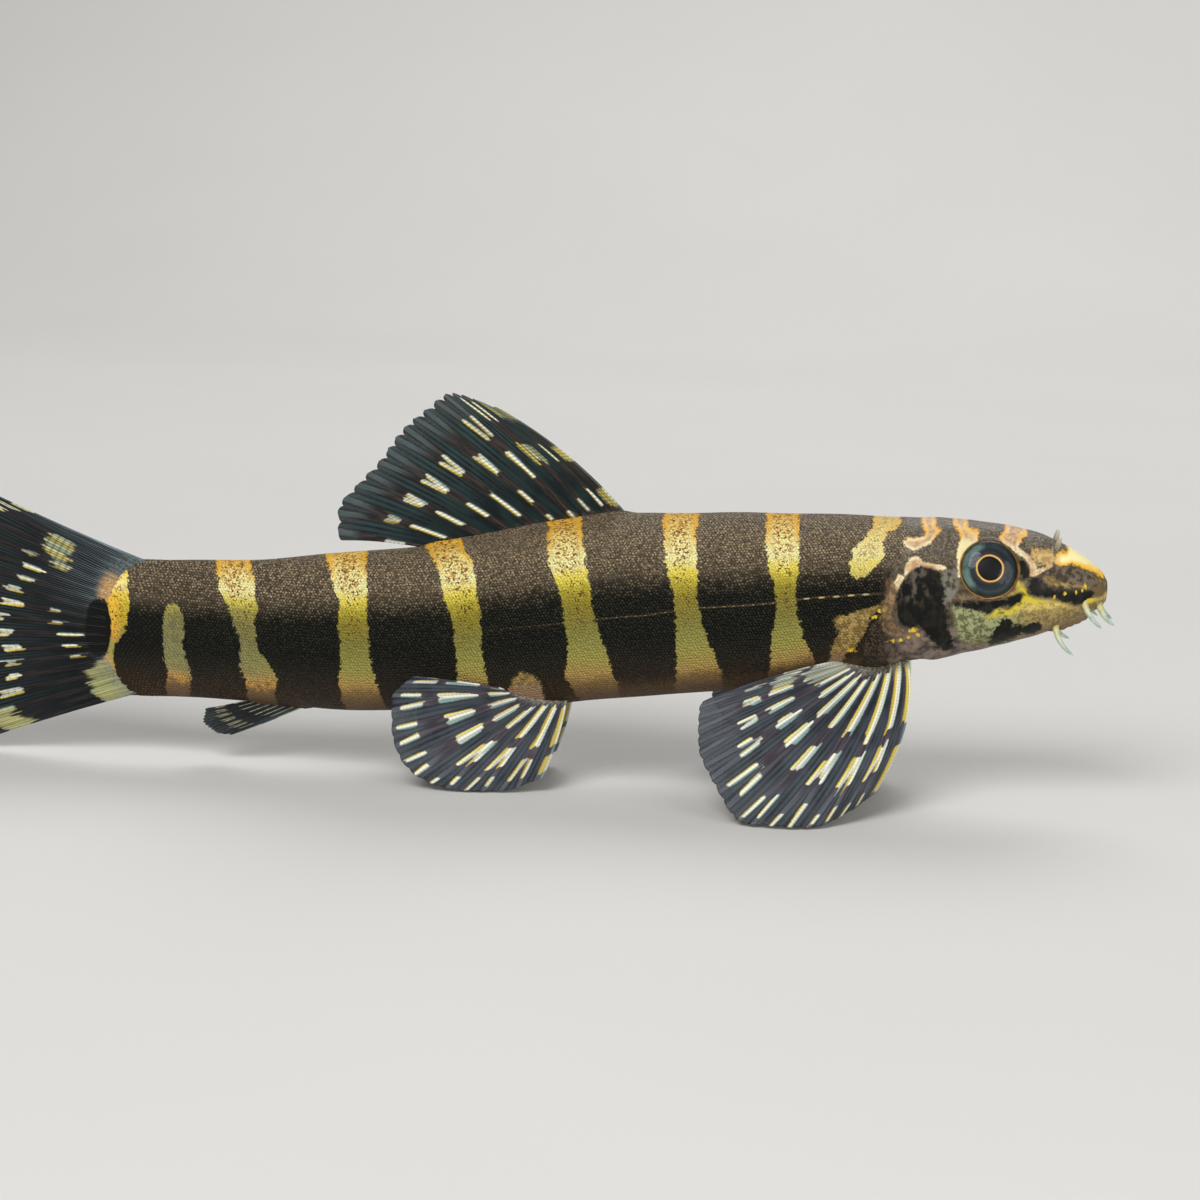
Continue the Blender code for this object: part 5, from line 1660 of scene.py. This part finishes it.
# %% Tail fin
CAUDAL_TIPS = ((-36.7, 0.0, 18.1), (-39.6, 0.0, 18.9), (-40.3, 0.0, 17.5), (-39.9, 0.0, 14.8),
               (-38.9, 0.0, 11.5), (-38.5, 0.0, 8.6), (-38.8, 0.0, 5.6), (-39.6, 0.0, 2.6),
               (-39.0, 0.0, 0.25), (-36.6, 0.0, 0.05))
CAUDAL_DASHES = (
    ((0.62, 0.72, 0.7),), ((0.60, 0.70, 0.9), (0.86, 0.96, 0.6)),
    ((0.28, 0.40, 1.0), (0.60, 0.70, 1.0), (0.86, 0.96, 0.6)),
    ((0.27, 0.38, 1.0), (0.62, 0.71, 0.8), (0.85, 0.95, 0.7)),
    ((0.26, 0.34, 0.9), (0.42, 0.47, 0.4), (0.64, 0.74, 0.8), (0.86, 0.96, 0.7)),
    ((0.37, 0.47, 1.0), (0.66, 0.76, 0.8), (0.88, 0.97, 0.6)),
    ((0.42, 0.50, 0.8), (0.67, 0.78, 0.8), (0.89, 0.97, 0.5)),
    ((0.50, 0.59, 0.8), (0.74, 0.84, 0.8)),
    ((0.30, 0.36, 0.6), (0.50, 0.62, 1.0), (0.76, 0.87, 0.8)),
    ((0.27, 0.37, 0.6), (0.60, 0.70, 0.8), (0.82, 0.92, 0.6)),
    ((0.18, 0.33, 1.0), (0.57, 0.68, 1.0), (0.82, 0.92, 0.7)),
    ((0.20, 0.31, 1.0), (0.50, 0.63, 1.0), (0.78, 0.88, 0.7)),
    ((0.16, 0.27, 0.6), (0.50, 0.60, 0.6), (0.76, 0.86, 0.8)),
    ((0.03, 0.15, 0.8), (0.50, 0.59, 1.0), (0.74, 0.84, 0.8)),
    ((0.02, 0.18, 0.8), (0.50, 0.60, 0.8), (0.76, 0.86, 0.8), (0.93, 0.99, 0.5)),
    ((0.02, 0.20, 0.8), (0.57, 0.72, 0.8), (0.84, 0.93, 0.7)),
    ((0.02, 0.22, 0.8), (0.57, 0.73, 0.9), (0.85, 0.94, 0.7)),
    ((0.02, 0.20, 0.7), (0.58, 0.73, 0.8)),
)
caudal = Fin(18, tail_root, CAUDAL_TIPS,
             lambda across: np.stack((0 * across, 0 * across, 0.25 * (2 * across - 1)), axis=-1),
             0.08, 0.020, forks=(0.30, 0.58), plain=(0, 17), widths=(0.21, 0.06), edge=0.3)
build_fin("caudal_fin", caudal, CAUDAL_DASHES, tail_paint, "middle_fins", 0.9,
          stagger=0.014, filled=((1.6, 4.3, 0.27, 0.39, 1), (12.8, 18.0, 0.0, 0.19, 0),
                                 (14.8, 18.0, 0.57, 0.72, 0)))

# %% [markdown]
# ## The paired fins
# The pectoral fins spread like fans from behind the gill covers, down and out to the floor, and
# the pelvic fins do the same under the middle of the body. Their roots run over a fleshy lobe.

# %% Roots of the paired fins
def flank_root(knots):
    """A root line given by x and height on the left flank, a little inside the skin."""
    knots = np.array(knots, float)
    run = np.linspace(0, 1, len(knots))

    def root(across):
        x, z = (through(run, knots[:, i], across) for i in (0, 1))
        flat_x, flat_z = np.ravel(x), np.ravel(z)
        _, belly, _, widest = section(flat_x)
        share = np.clip((widest - flat_z) / (widest - belly), 0, 1)
        turn = -np.arcsin(share ** (LOWER_ROUND / 2))
        point, normal = skin_points(flat_x, turn)
        return (point - normal * SINK).reshape(*np.shape(x), 3)

    return root

# %% Pectoral and pelvic fins
PECTORAL_ROOT = ((25.7, 9.55), (23.7, 9.2), (21.9, 9.3))
PECTORAL_TIPS = ((24.0, 6.3, 1.7), (22.5, 8.2, 0.75), (20.4, 10.0, 0.1), (18.3, 10.5, 0.08),
                 (16.2, 10.3, 0.1), (14.2, 9.2, 2.0), (12.8, 7.6, 4.4), (12.7, 6.0, 6.5),
                 (15.1, 5.0, 7.8))
PECTORAL_DASHES = (
    ((0.03, 0.52, 1.0), (0.62, 1.0, 1.0)), ((0.05, 0.50, 1.0), (0.58, 0.78, 1.0), (0.93, 1.0, 0.7)),
    ((0.06, 0.48, 1.0), (0.57, 0.79, 1.0), (0.90, 1.0, 0.9)),
    ((0.08, 0.45, 1.0), (0.57, 0.73, 1.0), (0.88, 1.0, 0.9)),
    ((0.10, 0.42, 1.0), (0.52, 0.68, 1.0), (0.83, 0.97, 1.0)),
    ((0.12, 0.40, 0.9), (0.47, 0.61, 1.0), (0.78, 0.94, 1.0)),
    ((0.10, 0.32, 0.9), (0.46, 0.59, 1.0), (0.70, 0.82, 1.0)),
    ((0.08, 0.30, 0.8), (0.44, 0.60, 1.0), (0.66, 0.76, 1.0)),
    ((0.06, 0.34, 0.7), (0.42, 0.56, 0.9), (0.62, 0.72, 0.9)),
    ((0.05, 0.32, 0.7), (0.38, 0.52, 0.8), (0.60, 0.68, 0.6)),
    ((0.04, 0.30, 0.8), (0.36, 0.56, 0.9)), ((0.04, 0.30, 0.8), (0.36, 0.58, 0.8)),
)
PELVIC_ROOT = ((3.9, 5.75), (0.7, 6.2))
PELVIC_TIPS = ((2.7, 4.0, 0.9), (0.1, 4.8, 0.1), (-2.4, 5.2, 0.08), (-4.7, 5.25, 0.55),
               (-6.3, 5.1, 1.7), (-7.1, 4.8, 3.8), (-7.2, 4.6, 5.8), (-5.9, 4.4, 7.3))
PELVIC_DASHES = (
    ((0.08, 0.58, 0.9), (0.66, 0.90, 0.8)), ((0.10, 0.55, 1.0), (0.66, 0.88, 0.8)),
    ((0.10, 0.45, 1.0), (0.55, 0.78, 1.0), (0.86, 0.98, 0.8)),
    ((0.12, 0.34, 0.9), (0.50, 0.76, 1.0), (0.88, 1.0, 1.0)),
    ((0.14, 0.34, 0.8), (0.42, 0.62, 1.0), (0.84, 0.98, 1.0)),
    ((0.10, 0.30, 0.8), (0.40, 0.61, 1.0), (0.80, 0.95, 1.0)),
    ((0.12, 0.26, 0.8), (0.36, 0.64, 1.0), (0.75, 0.92, 0.9)),
    ((0.10, 0.22, 0.7), (0.36, 0.62, 0.9), (0.74, 0.90, 0.7)),
)
for side_name, flip in SIDES:
    pectoral = Fin(12, flank_root(PECTORAL_ROOT), PECTORAL_TIPS,
                   passing((2.0, 0.5, 0.4), (0.0, 0.6, 0.4), 1.0), 0.08, 0.009,
                   forks=(0.44, 0.68), plain=(0,), widths=(0.40, 0.03), edge=0.30, crowd=0.42)
    build_fin(f"pectoral_fin_{side_name}", pectoral, PECTORAL_DASHES, paired_paint, "paired_fins",
              1.0, flip, filled=((7.5, 12.0, 0.0, 0.31, 0.5), (8.3, 12.0, 0.37, 0.53, 0.5)),
              stagger=0.02)
    pelvic = Fin(8, flank_root(PELVIC_ROOT), PELVIC_TIPS,
                 passing((0.5, 0.5, 0.2), (0.0, 0.5, 0.3), 1.0), 0.06, 0.010,
                 forks=(0.40, 0.66), plain=(0,), widths=(0.35, 0.03), edge=0.28)
    build_fin(f"pelvic_fin_{side_name}", pelvic, PELVIC_DASHES, paired_paint, "paired_fins",
              0.9, flip, stagger=0.022)

# %% [markdown]
# ## Floor, light and camera
# A pale sweep of paper runs under the model and curves up behind it. Large soft lamps stand above
# the camera's left and right, with a weaker one behind to lift the back's outline. The camera
# looks a little down and from slightly ahead of the flank, close to level with the fish.

# %% Stage
def sweep_paper():
    n = Nodes("paper")
    paper = n.finish(n.blend(n.noise(60.0), (224, 222, 217), (232, 230, 226)), 0.9)
    bend = np.linspace(0, 0.5 * np.pi, 24)
    y = np.concatenate(([-900.0, -200.0], 260 + 240 * np.sin(bend), [500.0]))
    z = np.concatenate(([0.0, 0.0], 240 - 240 * np.cos(bend), [1400.0]))
    x = np.array((-1500.0, 1500.0))
    points = np.stack(np.broadcast_arrays(x[None, :], y[:, None], z[:, None]), axis=-1)
    floor = smooth_mesh("paper_sweep", points.reshape(-1, 3) * MM, [grid_faces(len(y), 2)])
    floor.data.materials.append(paper)


def soft_lamp(name, place, width, watts, aim=(0.0, 0.0, 0.010)):
    lamp = bpy.data.lights.new(name, "AREA")
    lamp.shape, lamp.size, lamp.energy = "DISK", width, watts
    holder = bpy.data.objects.new(name, lamp)
    holder.location = place
    holder.rotation_euler = (Vector(aim) - Vector(place)).to_track_quat("-Z", "Y").to_euler()
    bpy.context.scene.collection.objects.link(holder)


sweep_paper()
soft_lamp("key", (-0.12, -0.36, 0.36), 0.30, 1.65)
soft_lamp("fill", (0.34, -0.32, 0.14), 0.34, 0.75)
soft_lamp("rim", (0.05, 0.30, 0.34), 0.30, 0.70)
world = bpy.data.worlds.new("soft_room")
world.use_nodes = True
room = world.node_tree.nodes["Background"].inputs
room["Color"].default_value, room["Strength"].default_value = (0.90, 0.94, 1.0, 1.0), 0.20
bpy.context.scene.world = world
bpy.context.scene.view_settings.view_transform = "Standard"

# %% [markdown]
# The camera's height, turn and tilt were found from the floor's slope and from where the far fins
# stand behind the near ones.

# %% Camera
AZIMUTH, ELEVATION, ROLL = (math.radians(a) for a in (5.0, 10.0, 2.0))
DISTANCE = 0.2167
AIM = np.array((5.7 - MIDDLE_X, 0.0, 12.1)) * MM
back = np.array((math.sin(AZIMUTH) * math.cos(ELEVATION), -math.cos(AZIMUTH) * math.cos(ELEVATION),
                 math.sin(ELEVATION)))
right = np.array((math.cos(AZIMUTH), math.sin(AZIMUTH), 0.0))
up = np.cross(back, right)
right, up = (right * math.cos(ROLL) + up * math.sin(ROLL),
             up * math.cos(ROLL) - right * math.sin(ROLL))
lens = bpy.data.cameras.new("camera")
lens.lens = 100.0
lens.sensor_width = 36.0
lens.clip_start = 0.01
camera = bpy.data.objects.new("camera", lens)
axes = np.column_stack((right, up, back, AIM + back * DISTANCE))
camera.matrix_world = Matrix([*axes.tolist(), (0, 0, 0, 1)])
bpy.context.scene.collection.objects.link(camera)
bpy.context.scene.camera = camera
